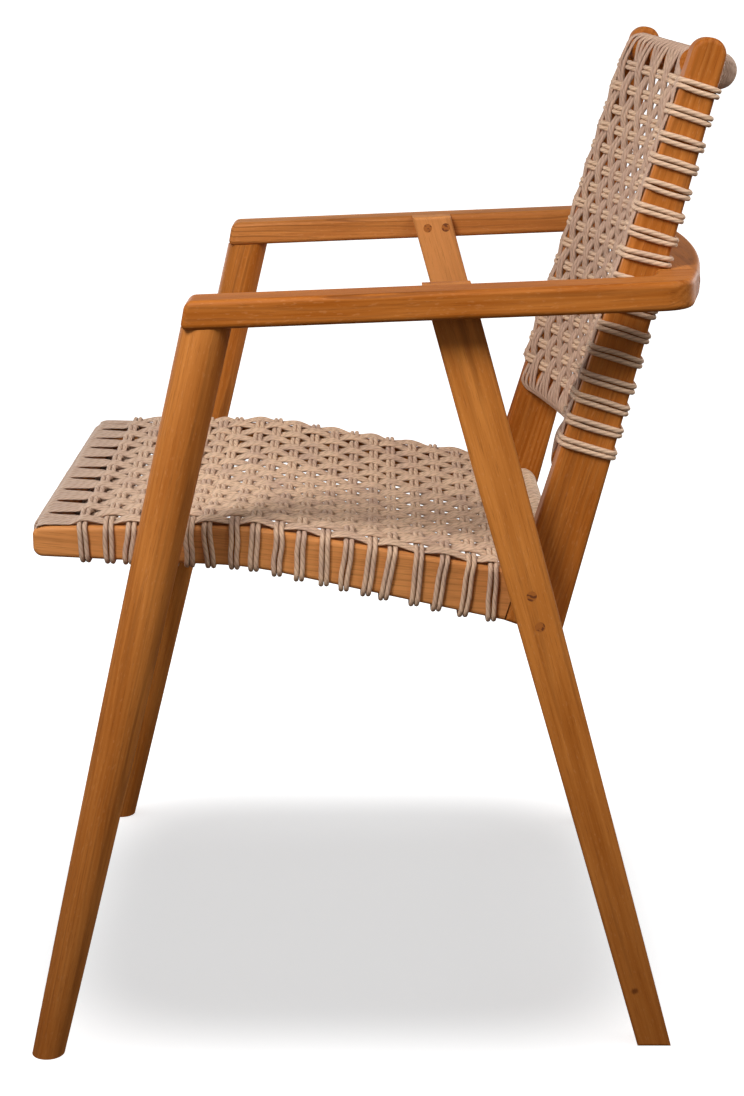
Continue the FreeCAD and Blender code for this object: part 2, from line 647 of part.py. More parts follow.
# Front stretcher: its ends are coped to the round legs, and its top lies along the side rails.
stretcher_blank = block(
    "stretcher_blank",
    ("2 * dims.front_leg_x", "dims.stretcher_width", "dims.stretcher_height"),
    (
        "-dims.front_leg_x",
        "(dims.stretcher_bottom_y - dims.stretcher_width / 2 * cos(dims.belly_angle))",
        "(dims.stretcher_bottom_z + dims.stretcher_width / 2 * sin(dims.belly_angle))",
    ),
    X_AXIS, "-dims.belly_angle",
)
stretcher_tools = [front_leg, mirrored("front_leg_blank_right", front_leg)]
stretcher_tools += [stretcher_screw, stretcher_plug, stretcher_dowel] + stretcher_twins
finish("front_stretcher", stretcher_blank, stretcher_tools)

# Spacer blocks: they fill the room between the rear legs and the posts, in line with the leg.
spacer_blank = block(
    "spacer_blank",
    ("(dims.rear_leg_inner_x - dims.frame_outer_x)", "dims.spacer_width", "dims.spacer_length"),
    (
        "dims.frame_outer_x",
        f"({rear_leg_y('dims.seat_joint_z')} - dims.spacer_width / 2 * cos(dims.rear_leg_lean_angle)"
        " + dims.spacer_length / 2 * sin(dims.rear_leg_lean_angle))",
        "(dims.seat_joint_z - dims.spacer_width / 2 * sin(dims.rear_leg_lean_angle)"
        " - dims.spacer_length / 2 * cos(dims.rear_leg_lean_angle))",
    ),
    X_AXIS, "dims.rear_leg_lean_angle",
)
pair("rear_spacer_right", finish("rear_spacer_left", spacer_blank, seat_screws))

# Seat side rails: cranked boards that run from a rounded front end to the front edge of the post.
RAIL_SIDE = [
    ("dims.seat_front_y", "dims.seat_rail_front_z"),
    ("dims.seat_belly_y", "dims.seat_belly_z"),
    (post_front("dims.seat_rail_rear_z"), "dims.seat_rail_rear_z"),
    ("dims.rail_end_y", "dims.rail_end_z"),
    ("dims.seat_bend_y", "dims.seat_top_z"),
    ("dims.seat_front_y", "dims.seat_top_z"),
]
rail_blank = padded("seat_rail_blank", "YZ_Plane", RAIL_SIDE, "dims.frame_thickness")
rounded(rail_blank, "dims.seat_belly_radius", along(X_AXIS, RAIL_SIDE[1]))
rounded(rail_blank, "dims.seat_bend_radius", along(X_AXIS, RAIL_SIDE[4]))
rounded(rail_blank, "dims.seat_rail_end_radius", along(X_AXIS, RAIL_SIDE[5]))
rounded(rail_blank, "dims.seat_rail_end_radius", along(X_AXIS, RAIL_SIDE[0]))


def at_post(middle):
    return abs(middle.y - number(post_front(str(middle.z)))) < MATCH


rounded(rail_blank, "dims.frame_edge_radius", rim(X_AXIS, at_post))
place(rail_blank, ("dims.frame_inner_x", "0", "0"))
rail_tools = [front_rail_dowel, stretcher_screw] + post_dowels
pair("seat_rail_right", finish("seat_rail_left", rail_blank, rail_tools))

# Back posts: they taper from the seat to a round tip, and the bowed rail of the arms is let in behind.
POST_SIDE = [
    (post_front("dims.seat_rail_rear_z"), "dims.seat_rail_rear_z"),
    (post_rear("dims.post_foot_z"), "dims.post_foot_z"),
    (post_rear("dims.post_tip_z"), "dims.post_tip_z"),
    (post_front("dims.post_tip_z"), "dims.post_tip_z"),
]
post_blank = padded("back_post_blank", "YZ_Plane", POST_SIDE, "dims.frame_thickness")
TIP_RADIUS = f"min(dims.post_tip_radius; {TIP_SHARE} * dims.post_tip_depth)"
rounded(post_blank, TIP_RADIUS, along(X_AXIS, POST_SIDE[2]))
rounded(post_blank, TIP_RADIUS, along(X_AXIS, POST_SIDE[3]))
rounded(post_blank, "dims.frame_edge_radius", rim(X_AXIS))
place(post_blank, ("dims.frame_inner_x", "0", "0"))
post_tools = [hoop_rail, hoop_screw, rear_rail_dowel] + list(bow_dowels.values())
post_tools += seat_screws + post_dowels
pair("back_post_right", finish("back_post_left", post_blank, post_tools))

# Seat front and rear rails: bars from side rail to side rail and from post to post.
front_bar = padded("seat_front_rail_blank", "YZ_Plane", [
    (f"(dims.front_rail_y {across} dims.front_rail_width / 2)",
     f"(dims.front_rail_z {up} dims.seat_rail_front_height / 2)")
    for across, up in (("-", "-"), ("+", "-"), ("+", "+"), ("-", "+"))
], "2 * dims.frame_inner_x")
rounded(front_bar, "dims.seat_rail_end_radius", lambda edge: edge.Length > number("dims.frame_inner_x"))
place(front_bar, ("-dims.frame_inner_x", "0", "0"))
finish("seat_front_rail", front_bar, [front_rail_dowel, front_twin])
rear_bar = cylinder(
    "seat_rear_rail_blank", "dims.rear_rail_radius", "2 * dims.frame_inner_x",
    ("-dims.frame_inner_x", "dims.rear_rail_y", "dims.rear_rail_z"), Y_AXIS, "90",
)
finish("seat_rear_rail", rear_bar, [rear_rail_dowel, rear_twin])


# Back rails: round bars bent backwards, from post to post.
post_room = block(
    "post_room", ("2 * dims.frame_inner_x", "2 * dims.post_tip_z", "2 * dims.post_tip_z"),
    ("-dims.frame_inner_x", "0", "0"),
)
for name, twin in (("bottom_rail", bottom_twin), ("top_rail", top_twin)):
    bar = doc.addObject("PartDesign::Body", f"{name}_blank")
    profile = bar.newObject("Sketcher::SketchObject", f"{name}_profile")
    plane = [item for item in bar.Origin.OriginFeatures if item.Role == "YZ_Plane"][0]
    profile.AttachmentSupport = (plane, [""])
    profile.MapMode = "FlatFace"
    bend_radius = number(f"dims.{name}_bend")
    profile.addGeometry(Part.Circle(Vector(bend_radius, 0, 0), Z_AXIS, number("dims.back_bar_radius")))
    for label, limit, expression in (
        ("bend", Sketcher.Constraint("DistanceX", -1, 1, 0, 3, bend_radius), f"dims.{name}_bend"),
        ("level", Sketcher.Constraint("DistanceY", -1, 1, 0, 3, 0), "0"),
        ("girth", Sketcher.Constraint("Radius", 0, number("dims.back_bar_radius")), "dims.back_bar_radius"),
    ):
        profile.renameConstraint(profile.addConstraint(limit), label)
        profile.setExpression(f"Constraints.{label}", expression)
    bend = bar.newObject("PartDesign::Revolution", f"{name}_bend")
    bend.Profile = profile
    bend.ReferenceAxis = (profile, ["V_Axis"])
    bend.Midplane = True
    bend.setExpression("Angle", f"2 * asin((dims.frame_inner_x + dims.back_bar_radius) / dims.{name}_bend)")
    y, z = back_point(f"dims.{name}_rise", f"(dims.{name}_setback + dims.{name}_bow - dims.{name}_bend)")
    place(bar, ("0", y, z), X_AXIS, "-dims.post_lean_angle")
    trimmed = doc.addObject("Part::Common", f"{name}_trimmed")
    trimmed.Base = bar
    trimmed.Tool = post_room
    finish(f"back_{name}", trimmed, [bow_dowels[name], twin])


# Weave: every pair of cords is a flat band. A band is a line with a thickness, drawn in the plane
# that it runs in, and given its width along a third direction.
THICK = number("dims.band_thickness")
LIFT = number("dims.weave_lift")
OFFSET = number("dims.cord_clearance") + THICK / 2
HALF_INNER = number("dims.frame_inner_x")
OUTER = number("dims.frame_outer_x")
CUT = number("dims.frame_edge_radius") * CORNER_SHARE
UNDER = number("dims.frame_thickness") * UNDER_SHARE


def ribbon(line, width, spread, lift_to_space):
    """A solid band: the line offset to both sides, and swept by its width along the spread."""
    left, right = [], []
    for index, (across, up) in enumerate(line):
        normals = []
        for start, end in ((index - 1, index), (index, index + 1)):
            if 0 <= start and end < len(line):
                run = (line[end][0] - line[start][0], line[end][1] - line[start][1])
                length = math.hypot(*run)
                normals.append((-run[1] / length, run[0] / length))
        mean = [sum(part) / len(normals) for part in zip(*normals)]
        stretch = THICK / 2 / (mean[0] ** 2 + mean[1] ** 2)
        left.append((across + mean[0] * stretch, up + mean[1] * stretch))
        right.append((across - mean[0] * stretch, up - mean[1] * stretch))
    outline = [lift_to_space(*point) for point in left + right[::-1]]
    side = spread.normalize() * width
    corners = [point - side * 0.5 for point in outline]
    return Part.Face(Part.makePolygon(corners + corners[:1])).extrude(side)


def between(value, knots):
    """Straight-line reading of a table of places and values."""
    for (start, low), (end, high) in zip(knots, knots[1:]):
        if value <= end:
            return low + (high - low) * (value - start) / (end - start)
    return knots[-1][1]


def spaced(first, last, count):
    return [first + (last - first) * index / (count - 1) for index in range(count)]


def round_bar(centre, radius, first, turn, count):
    """Corners of a line that runs round a circle without cutting it: a first angle, in degrees from
    the first axis towards the second, and equal steps through a turn."""
    step = math.radians(turn) / (count - 1)
    reach = radius / math.cos(step / 2)
    angles = [math.radians(first) + step * index for index in range(count)]
    return [(centre[0] + reach * math.cos(angle), centre[1] + reach * math.sin(angle)) for angle in angles]


def keep_weave(name, bands):
    node = doc.addObject("Part::Feature", name)
    node.Shape = Part.makeCompound(bands)
    node.Placement = FreeCAD.Placement()
    node.Label = name
    finished[name] = node


TAIL = number("dims.tail_length")
# Where a band that crosses over the outermost warp turns down, between that warp and the corner
TURN_SHARE = 0.6


def round_edge(edge_x, over):
    """A weft's way over a rail or post: across its face, below or above the outermost warp, and
    round its outer corner. Places are across and away from the face."""
    if not over:
        return [(edge_x, OFFSET), (OUTER - CUT, OFFSET), (OUTER + OFFSET, -CUT)]
    turn_x = edge_x + (OUTER - edge_x) * TURN_SHARE
    return [(edge_x, OFFSET + 2 * LIFT), (turn_x, OFFSET + 2 * LIFT - THICK / 2), (OUTER + OFFSET, -CUT)]


# Seat: the warps run from the front rail to the rear rail, and the wefts from side rail to side rail.
# The outermost warps lie on the side rails and end below the last weft.
SEAT_TOP = number("dims.seat_top_z")
BEND_Y = number("dims.seat_bend_y")
FALL = number("dims.seat_slope")
RAIL_BOTTOM = [
    (number("dims.seat_front_y"), number("dims.seat_rail_front_z")),
    (number("dims.seat_belly_y"), number("dims.seat_belly_z")),
    (number(RAIL_SIDE[2][0]), number("dims.seat_rail_rear_z")),
]
front_bar_y = number("dims.seat_front_y")
front_bar_bottom = number("dims.seat_rail_front_z")
front_bar_cut = number("dims.seat_rail_end_radius") * CORNER_SHARE
rear_bar_place = (number("dims.rear_rail_y"), number("dims.rear_rail_z"))
rear_bar_reach = number("dims.rear_rail_radius") + OFFSET
FIELD_FRONT = front_bar_y + number("dims.front_rail_width")
FIELD_REAR = rear_bar_place[0] - 2 * rear_bar_reach
SAG_PLACES = [FIELD_FRONT + share * (FIELD_REAR - FIELD_FRONT) for share in SAG_SHARES]
SAG_TABLE = [(FIELD_FRONT, 0), (SAG_PLACES[0], 1), (SAG_PLACES[1], 1), (FIELD_REAR, 0)]


def rail_top(y):
    return SEAT_TOP - max(0, y - BEND_Y) * FALL


def seat_level(x, y):
    """Height of the warps: a weft clears the rails below them, and they sag between the rails."""
    sag = number("dims.seat_sag") * max(0, 1 - (x / HALF_INNER) ** 2) * between(y, SAG_TABLE)
    return rail_top(y) + OFFSET + LIFT - sag


seat_edge = OUTER - number("dims.seat_warp_margin")
seat_warps = spaced(-seat_edge, seat_edge, SEAT_WARP_COUNT)
seat_wefts = spaced(number("dims.seat_weft_first_y"), number("dims.seat_weft_last_y"), SEAT_WEFT_COUNT)
warp_bands = []
for x in seat_warps:
    knots = sorted([FIELD_FRONT, SAG_PLACES[0], BEND_Y, SAG_PLACES[1], FIELD_REAR])
    line = [
        (front_bar_y + number("dims.front_rail_width") / 2, front_bar_bottom - OFFSET),
        (front_bar_y + front_bar_cut, front_bar_bottom - OFFSET),
        (front_bar_y - OFFSET, front_bar_bottom + front_bar_cut),
        (front_bar_y - OFFSET, SEAT_TOP - front_bar_cut),
        (front_bar_y + front_bar_cut, SEAT_TOP + OFFSET),
    ]
    tilt = 0
    if abs(x) < HALF_INNER:
        line += [(y, seat_level(x, y)) for y in knots]
        line += round_bar(rear_bar_place, rear_bar_reach, REAR_WRAP_ANGLE, -180, BAR_CORNER_COUNT)
        tilt = number("dims.seat_sag") * x / HALF_INNER ** 2
    else:
        line += [(y, seat_level(x, y)) for y in (FIELD_FRONT, BEND_Y, seat_wefts[-1] + TAIL)]
    warp_bands.append(ribbon(
        line, number("dims.warp_width"), Vector(1, 0, tilt), lambda y, z: Vector(x, y, z),
    ))
keep_weave("seat_warp_cords", warp_bands)

stretcher_room = (number("dims.stretcher_width") + number("dims.weft_width")) / 2 + OFFSET
weft_bands = []
for row, y in enumerate(seat_wefts):
    top, bottom = rail_top(y), between(y, RAIL_BOTTOM)
    wrap = [(OUTER + OFFSET, bottom + CUT)]
    if abs(y - number("dims.stretcher_y")) > stretcher_room:
        wrap += [(OUTER - CUT, bottom - OFFSET), (OUTER - UNDER, bottom - OFFSET)]
    overs = [(row + column) % 2 == 0 for column in range(SEAT_WARP_COUNT)]
    field = [(x, seat_level(x, y) + (LIFT if over else -LIFT)) for x, over in zip(seat_warps, overs)][1:-1]
    first, last = [[(x, top + up) for x, up in round_edge(seat_edge, over)] + wrap for over in (overs[0], overs[-1])]
    line = [(-x, z) for x, z in reversed(first)] + field + last
    spread = Vector(0, 1, -FALL if y > BEND_Y else 0)
    weft_bands.append(ribbon(line, number("dims.weft_width"), spread, lambda x, z: Vector(x, y, z)))
keep_weave("seat_weft_cords", weft_bands)

# Back: places are given as a rise along the posts' front edge and a setback behind it.
LEAN = math.radians(number("dims.post_lean_angle"))
RISE_WAY = Vector(0, math.sin(LEAN), math.cos(LEAN))
BACK_WAY = Vector(0, math.cos(LEAN), -math.sin(LEAN))
BACK_ORIGIN = Vector(0, number("dims.back_foot_y"), SEAT_TOP)
bar_reach = number("dims.back_bar_radius") + OFFSET
bars = {name: (number(f"dims.{name}_rise"), number(f"dims.{name}_setback")) for name in bow_dowels}
waist = bars["bottom_rail"][0] + WAIST_SHARE * (bars["top_rail"][0] - bars["bottom_rail"][0])
LEVEL_TABLE = [
    (bars["bottom_rail"][0], bars["bottom_rail"][1] - bar_reach),
    (waist, 0),
    (bars["top_rail"][0], bars["top_rail"][1] - bar_reach),
]
BOW_TABLE = [
    (bars["bottom_rail"][0], number("dims.bottom_rail_bow")),
    (waist, number("dims.back_waist_bow")),
    (bars["top_rail"][0], number("dims.top_rail_bow")),
]


def bow_at(x, bow):
    """Depth of a round bow at a place across the chair."""
    radius = (HALF_INNER ** 2 + bow ** 2) / (2 * bow)
    return math.sqrt(radius ** 2 - x ** 2) - radius + bow


def back_level(x, rise):
    return between(rise, LEVEL_TABLE) + bow_at(x, between(rise, BOW_TABLE))


def in_space(x, rise, setback):
    return BACK_ORIGIN + X_AXIS * x + RISE_WAY * rise + BACK_WAY * setback


back_reach = HALF_INNER - number("dims.back_warp_margin")
back_edge = OUTER - number("dims.back_edge_margin")
back_warps = [-back_edge] + spaced(-back_reach, back_reach, BACK_WARP_COUNT - 2) + [back_edge]
back_wefts = spaced(number("dims.back_weft_first"), number("dims.back_weft_last"), BACK_WEFT_COUNT)
warp_bands = []
for x in back_warps[1:-1]:
    ends = []
    for name, way in (("bottom_rail", -1), ("top_rail", 1)):
        depth = bars[name][1] + bow_at(x, number(f"dims.{name}_bow"))
        places = round_bar((0, 0), bar_reach, 90, -180, BAR_CORNER_COUNT)
        ends.append([(bars[name][0] + way * out, depth - front) for out, front in places])
    line = ends[0][::-1] + [(waist, back_level(x, waist))] + ends[1]
    slope = -2 * number("dims.back_waist_bow") * x / HALF_INNER ** 2
    warp_bands.append(ribbon(
        line, number("dims.warp_width"), X_AXIS + BACK_WAY * slope,
        lambda rise, setback: in_space(x, rise, setback),
    ))
# The outermost warps lie on the posts and end below the first and last wefts.
for x in (-back_edge, back_edge):
    line = [(back_wefts[0] - TAIL, -OFFSET - LIFT), (back_wefts[-1] + TAIL, -OFFSET - LIFT)]
    warp_bands.append(ribbon(
        line, number("dims.warp_width"), Vector(X_AXIS), lambda rise, setback: in_space(x, rise, setback),
    ))
keep_weave("back_warp_cords", warp_bands)

# Behind the posts the bowed rail of the arms leaves no room for cord, so there the wraps stop short.
hoop_y = number("dims.arm_rail_front_y")
hoop_top = number(arm_point("dims.arm_rail_front_y", "0"))
hoop_rises = [(Vector(0, hoop_y, hoop_top - below) - BACK_ORIGIN).dot(RISE_WAY)
              for below in (number("dims.arm_thickness"), 0)]
rear_slope = number("dims.post_rear_slope")
room = number("dims.weft_width")
weft_bands = []
for row, rise in enumerate(back_wefts):
    closing = rise * (rear_slope * math.cos(LEAN) - math.sin(LEAN))
    depth = (number("dims.post_depth") + closing) / (math.cos(LEAN) + rear_slope * math.sin(LEAN))
    wrap = []
    if rise + room < hoop_rises[0] or rise - room > hoop_rises[1]:
        wrap += [(OUTER + OFFSET, depth - CUT), (OUTER - CUT, depth + OFFSET), (OUTER - UNDER, depth + OFFSET)]
    else:
        upper = rise + room / 2
        limit = (hoop_y - BACK_ORIGIN.y - upper * math.sin(LEAN)) / math.cos(LEAN)
        wrap.append((OUTER + OFFSET, min(depth - CUT, limit - OFFSET)))
    fronts = [(row + column) % 2 == 1 for column in range(BACK_WARP_COUNT)]
    field = [(x, back_level(x, rise) - (LIFT if front else -LIFT)) for x, front in zip(back_warps, fronts)
             if abs(x) < HALF_INNER]
    first, last = [[(x, -out) for x, out in round_edge(back_edge, front)] + wrap for front in (fronts[0], fronts[-1])]
    line = [(-x, setback) for x, setback in reversed(first)] + field + last
    weft_bands.append(ribbon(
        line, number("dims.weft_width"), Vector(RISE_WAY), lambda x, setback: in_space(x, rise, setback),
    ))
keep_weave("back_weft_cords", weft_bands)

# Every object must be sound before anything is written.
doc.recompute()
for item in doc.Objects:
    if "Invalid" in item.State or "Error" in item.State:
        raise RuntimeError(f"{item.Label} failed: {item.State}")
os.makedirs("parts", exist_ok=True)
for name, piece in finished.items():
    shape = piece.Shape
    if shape.isNull() or not shape.isValid() or not shape.Solids:
        raise RuntimeError(f"{name} has no sound solid")
for name, piece in finished.items():
    piece.Shape.exportStep(f"parts/{name}.step")
print(f"{len(finished)} nodes")
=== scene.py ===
import math
import random

import bpy
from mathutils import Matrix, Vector


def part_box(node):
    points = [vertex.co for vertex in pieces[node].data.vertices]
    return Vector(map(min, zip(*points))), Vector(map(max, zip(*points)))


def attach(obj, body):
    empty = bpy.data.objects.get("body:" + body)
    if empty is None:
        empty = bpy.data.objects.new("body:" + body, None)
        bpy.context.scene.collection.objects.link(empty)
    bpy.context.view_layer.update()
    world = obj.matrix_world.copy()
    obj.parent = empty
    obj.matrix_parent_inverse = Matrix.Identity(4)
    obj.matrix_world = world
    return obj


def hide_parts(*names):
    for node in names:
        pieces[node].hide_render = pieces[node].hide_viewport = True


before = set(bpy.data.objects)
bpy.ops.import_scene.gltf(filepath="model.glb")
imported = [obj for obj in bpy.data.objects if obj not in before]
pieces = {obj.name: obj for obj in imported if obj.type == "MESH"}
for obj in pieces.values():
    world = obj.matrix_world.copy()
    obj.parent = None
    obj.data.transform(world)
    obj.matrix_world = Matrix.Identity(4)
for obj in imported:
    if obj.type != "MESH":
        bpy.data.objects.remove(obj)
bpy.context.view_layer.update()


# Front legs: round teak legs, turned with a slight swell, that lean back under the arms.
# The grain runs along the leg, and the wood is oiled, not varnished, so it has a soft sheen.
class Sum:
    """A socket that can stand in a sum: each operator adds a Math node to the socket's tree."""

    def __init__(self, nodes, socket):
        self.nodes = nodes
        self.socket = socket

    def join(self, operation, first, second):
        return self.nodes.add("ShaderNodeMath", {"operation": operation}, {0: first, 1: second})

    def __add__(self, other):
        return self.join("ADD", self, other)

    def __radd__(self, other):
        return self.join("ADD", other, self)

    def __sub__(self, other):
        return self.join("SUBTRACT", self, other)

    def __rsub__(self, other):
        return self.join("SUBTRACT", other, self)

    def __mul__(self, other):
        return self.join("MULTIPLY", self, other)

    def __rmul__(self, other):
        return self.join("MULTIPLY", other, self)

    def __truediv__(self, other):
        return self.join("DIVIDE", self, other)

    def __rtruediv__(self, other):
        return self.join("DIVIDE", other, self)


class Nodes:
    """A node tree, and the one way of adding a node to it: its type, its settings, its sockets."""

    def __init__(self, tree):
        self.tree = tree

    def feed(self, socket, value):
        if isinstance(value, Sum):
            self.tree.links.new(value.socket, socket)
        else:
            socket.default_value = value

    def add(self, kind, settings=None, sockets=None, output=0):
        node = self.tree.nodes.new(kind)
        for name, value in (settings or {}).items():
            setattr(node, name, value)
        for name, value in (sockets or {}).items():
            self.feed(node.inputs[name], value)
        return Sum(self, node.outputs[output])

    def place(self):
        """Where a point lies in the chair's own frame."""
        return self.add("ShaderNodeTexCoord", output="Object")

    def axis(self, vector, name):
        """A vector's X, Y or Z."""
        return self.add("ShaderNodeSeparateXYZ", None, {0: vector}, name)

    def vector(self, operation, *values, output=0):
        sockets = dict(enumerate(values))
        return self.add("ShaderNodeVectorMath", {"operation": operation}, sockets, output)

    def length(self, vector):
        return self.vector("LENGTH", vector, output="Value")

    def stretch(self, place, factors):
        return self.vector("MULTIPLY", place, factors)

    def sine(self, value):
        return self.add("ShaderNodeMath", {"operation": "SINE"}, {0: value})

    def between(self, value, low, high):
        """A value spread from 0 at low to 1 at high, smooth at both ends."""
        settings = {"interpolation_type": "SMOOTHSTEP"}
        return self.add("ShaderNodeMapRange", settings, {0: value, 1: low, 2: high})

    def noise(self, place, scale, detail=2.0, roughness=0.5):
        sockets = {"Vector": place, "Scale": scale, "Detail": detail, "Roughness": roughness}
        return self.add("ShaderNodeTexNoise", None, sockets)

    def blend(self, factor, first, second):
        """A colour between two colours."""
        sockets = {0: factor, 6: first, 7: second}
        return self.add("ShaderNodeMix", {"data_type": "RGBA"}, sockets, 2)


def new_finish(name):
    """A material, its tree and its shader."""
    material = bpy.data.materials.new(name)
    material.use_nodes = True
    return material, Nodes(material.node_tree), material.node_tree.nodes["Principled BSDF"]


def set_surface(nodes, shader, colour, roughness, shine, relief, strength, depth):
    """Feeds a shader: colour, roughness and relief change over the piece, and the rest doesn't."""
    nodes.feed(shader.inputs["Base Color"], colour)
    nodes.feed(shader.inputs["Roughness"], roughness)
    shader.inputs["Specular IOR Level"].default_value = shine
    sockets = {"Strength": strength, "Distance": depth, "Height": relief}
    nodes.feed(shader.inputs["Normal"], nodes.add("ShaderNodeBump", None, sockets))


TEAK_PALE = (0.68, 0.320, 0.130, 1.0)
TEAK_LIGHT = (0.585, 0.208, 0.040, 1.0)
TEAK_MIDDLE = (0.32, 0.082, 0.006, 1.0)
TEAK_DARK = (0.12, 0.030, 0.005, 1.0)
TEAK_SHINE = 0.13
RING_WIDTH, RING_DRIFT = 0.0046, 0.030
# How strongly each mark in the wood colours it
FLECK_SHARE, PORE_SHARE, VEIN_SHARE, KNOT_SHARE = 0.17, 0.30, 0.34, 0.85
# Near the ground the wood is darker, more so in patches
LOW_DARK_HEIGHT, LOW_DARK_SHARE, LOW_DARK_PATCH_SHARE = 0.34, 0.10, 0.50
KNOT_CORE_SHARE = 0.35


def oiled_teak(name, turn, shift, pale_and_painted_light=0.0, figure=0.34, knot=None):
    """Teak with its grain along the piece: turn stands the grain upright, shift picks the board,
    paleness is how much paler it is than most, which is partly its own tone and partly painted light
    and shade on the piece, figure is how dark its growth lines are, and a knot has a middle and a size."""
    material, nodes, shader = new_finish(name)
    place = nodes.place()
    sockets = {"Vector": place, "Rotation": turn, "Location": shift}
    board = nodes.add("ShaderNodeMapping", None, sockets)

    def grain(draw, fineness, detail, roughness=0.5):
        """Noise that is drawn out along the board, the more the smaller draw is."""
        return nodes.noise(nodes.stretch(board, (1.0, 1.0, draw)), fineness, detail, roughness)

    drift = grain(draw=0.14, fineness=14.0, detail=3.0)
    across = nodes.length(nodes.stretch(board, (1.0, 1.0, 0.0)))
    rings = nodes.sine((across + drift * RING_DRIFT) * (math.tau / RING_WIDTH)) * 0.5 + 0.5
    fading = nodes.between(grain(draw=0.12, fineness=30.0, detail=2.0), 0.40, 0.66)
    lines = nodes.between(rings, 0.70, 1.0) * fading
    streaks = grain(draw=0.022, fineness=420.0, detail=3.0, roughness=0.6)
    patches = grain(draw=0.22, fineness=22.0, detail=2.0)
    pores = nodes.between(grain(draw=0.035, fineness=1500.0, detail=1.0), 0.60, 0.72)
    flecks = nodes.between(grain(draw=0.30, fineness=620.0, detail=1.0), 0.60, 0.74)
    veins = nodes.between(grain(draw=0.03, fineness=130.0, detail=2.0), 0.54, 0.74)

    # The paleness lifts or lowers the tone of the whole piece: partly its own tone, partly painted
    # light and shade
    tone = rings * 0.20 + streaks * 0.95 + patches * 1.85 - 0.97 + pale_and_painted_light
    colour = nodes.blend(tone, TEAK_MIDDLE, TEAK_LIGHT)
    if pale_and_painted_light > 0:
        colour = nodes.blend(pale_and_painted_light * (0.5 + patches), colour, TEAK_PALE)
    colour = nodes.blend(flecks * FLECK_SHARE, colour, TEAK_PALE)
    colour = nodes.blend(pores * PORE_SHARE, colour, TEAK_DARK)
    colour = nodes.blend(veins * VEIN_SHARE, colour, TEAK_DARK)
    colour = nodes.blend(lines * figure, colour, TEAK_DARK)
    low_dark = 1.0 - nodes.between(nodes.axis(place, "Z"), 0.0, LOW_DARK_HEIGHT)
    colour = nodes.blend(low_dark * (LOW_DARK_SHARE + patches * LOW_DARK_PATCH_SHARE), colour, TEAK_DARK)
    if knot is not None:
        middle, size = knot
        away = nodes.length(nodes.vector("SUBTRACT", place, middle))
        core = 1.0 - nodes.between(away + (streaks - 0.5) * size, size * KNOT_CORE_SHARE, size)
        colour = nodes.blend(core * KNOT_SHARE, colour, TEAK_DARK)
    roughness = 0.40 + streaks * 0.22 + pores * 0.10
    relief = streaks * 0.6 - pores * 0.5 + rings * 0.15
    set_surface(nodes, shader, colour, roughness, TEAK_SHINE, relief, strength=0.35, depth=0.00025)
    return material


def dress(names, material):
    for name in names:
        pieces[name].data.materials.clear()
        pieces[name].data.materials.append(material)


FRONT_LEG_TURN = (math.radians(13.35), 0, 0)
near_front_leg = oiled_teak("teak_front_leg_left", FRONT_LEG_TURN, (-0.24, 0.31, 0.0), pale_and_painted_light=0.04)
dress(["front_leg_left"], near_front_leg)
far_front_leg = oiled_teak("teak_front_leg_right", FRONT_LEG_TURN, (0.29, 0.33, 1.3))
dress(["front_leg_right"], far_front_leg)

# Front stretcher: a teak bar between the front legs, coped to them and dowelled, that carries
# the seat rails. Its grain runs across the chair.
ACROSS = (0, -math.pi / 2, 0)
dress(["front_stretcher"], oiled_teak("teak_stretcher", ACROSS, (0.02, 0.26, 0.7)))

# Rear legs: raked teak boards, tapered to the foot and let into the inner faces of the arms.
# The near one has a small dark knot above its foot.
REAR_LEG_TURN = (math.radians(-15.75), 0, 0)
KNOT = ((0.250, 0.2125, 0.0525), 0.0040)
NEAR_REAR_BOARD, FAR_REAR_BOARD = (-0.10, -0.16, 0.4), (0.33, -0.20, 2.1)
near_rear_leg = oiled_teak("teak_rear_leg_left", REAR_LEG_TURN, NEAR_REAR_BOARD, figure=0.62, knot=KNOT)
dress(["rear_leg_left"], near_rear_leg)
# The far rear leg is given a pale tone, partly painted light
far_rear_leg = oiled_teak("teak_rear_leg_right", REAR_LEG_TURN, FAR_REAR_BOARD, pale_and_painted_light=0.36, figure=0.45)
dress(["rear_leg_right"], far_rear_leg)

# Arms: flat teak boards with softened edges that hook inwards at the rear corner. Their grain
# runs from front to back.
ARM_TURN = (math.radians(90 - 2.3), 0, 0)
# The near arm is given a dark tone and the far arm a pale one, partly painted shade and light
near_arm = oiled_teak("teak_arm_left", ARM_TURN, (-0.19, 0.55, 0.2), pale_and_painted_light=-0.26, figure=0.60)
dress(["arm_left"], near_arm)
far_arm = oiled_teak("teak_arm_right", ARM_TURN, (0.33, 0.52, 3.2), pale_and_painted_light=0.16, figure=0.50)
dress(["arm_right"], far_arm)

# Arm back rail: a teak rail bowed behind the posts, let into them and screwed, that closes the
# hoop of the arms. Its grain runs across the chair.
dress(["arm_back_rail"], oiled_teak("teak_arm_rail", ACROSS, (-0.60, -0.17, 0.1)))

# Spacers: small teak blocks on the screws between the rear legs and the posts, which keep the two
# apart. Their grain runs with the rear legs.
spacer_teak = oiled_teak("teak_spacer", REAR_LEG_TURN, (0.1, 0.2, 0.9))
dress(["rear_spacer_left", "rear_spacer_right"], spacer_teak)

# Seat rails: cranked teak boards, rounded in front, that carry the wefts of the seat. They rest on
# the front stretcher, and their wood has little figure.
SEAT_RAIL_TURN = (math.radians(96), 0, 0)
SEAT_RAIL_FIGURE = 0.24
NEAR_RAIL_BOARD, FAR_RAIL_BOARD = (-0.10, -0.33, 0.6), (0.26, -0.36, 1.8)
# Both rails are given pale tones, partly painted light
near_rail = oiled_teak("teak_seat_rail_left", SEAT_RAIL_TURN, NEAR_RAIL_BOARD, 0.34, SEAT_RAIL_FIGURE)
dress(["seat_rail_left"], near_rail)
far_rail = oiled_teak("teak_seat_rail_right", SEAT_RAIL_TURN, FAR_RAIL_BOARD, 0.20, SEAT_RAIL_FIGURE)
dress(["seat_rail_right"], far_rail)

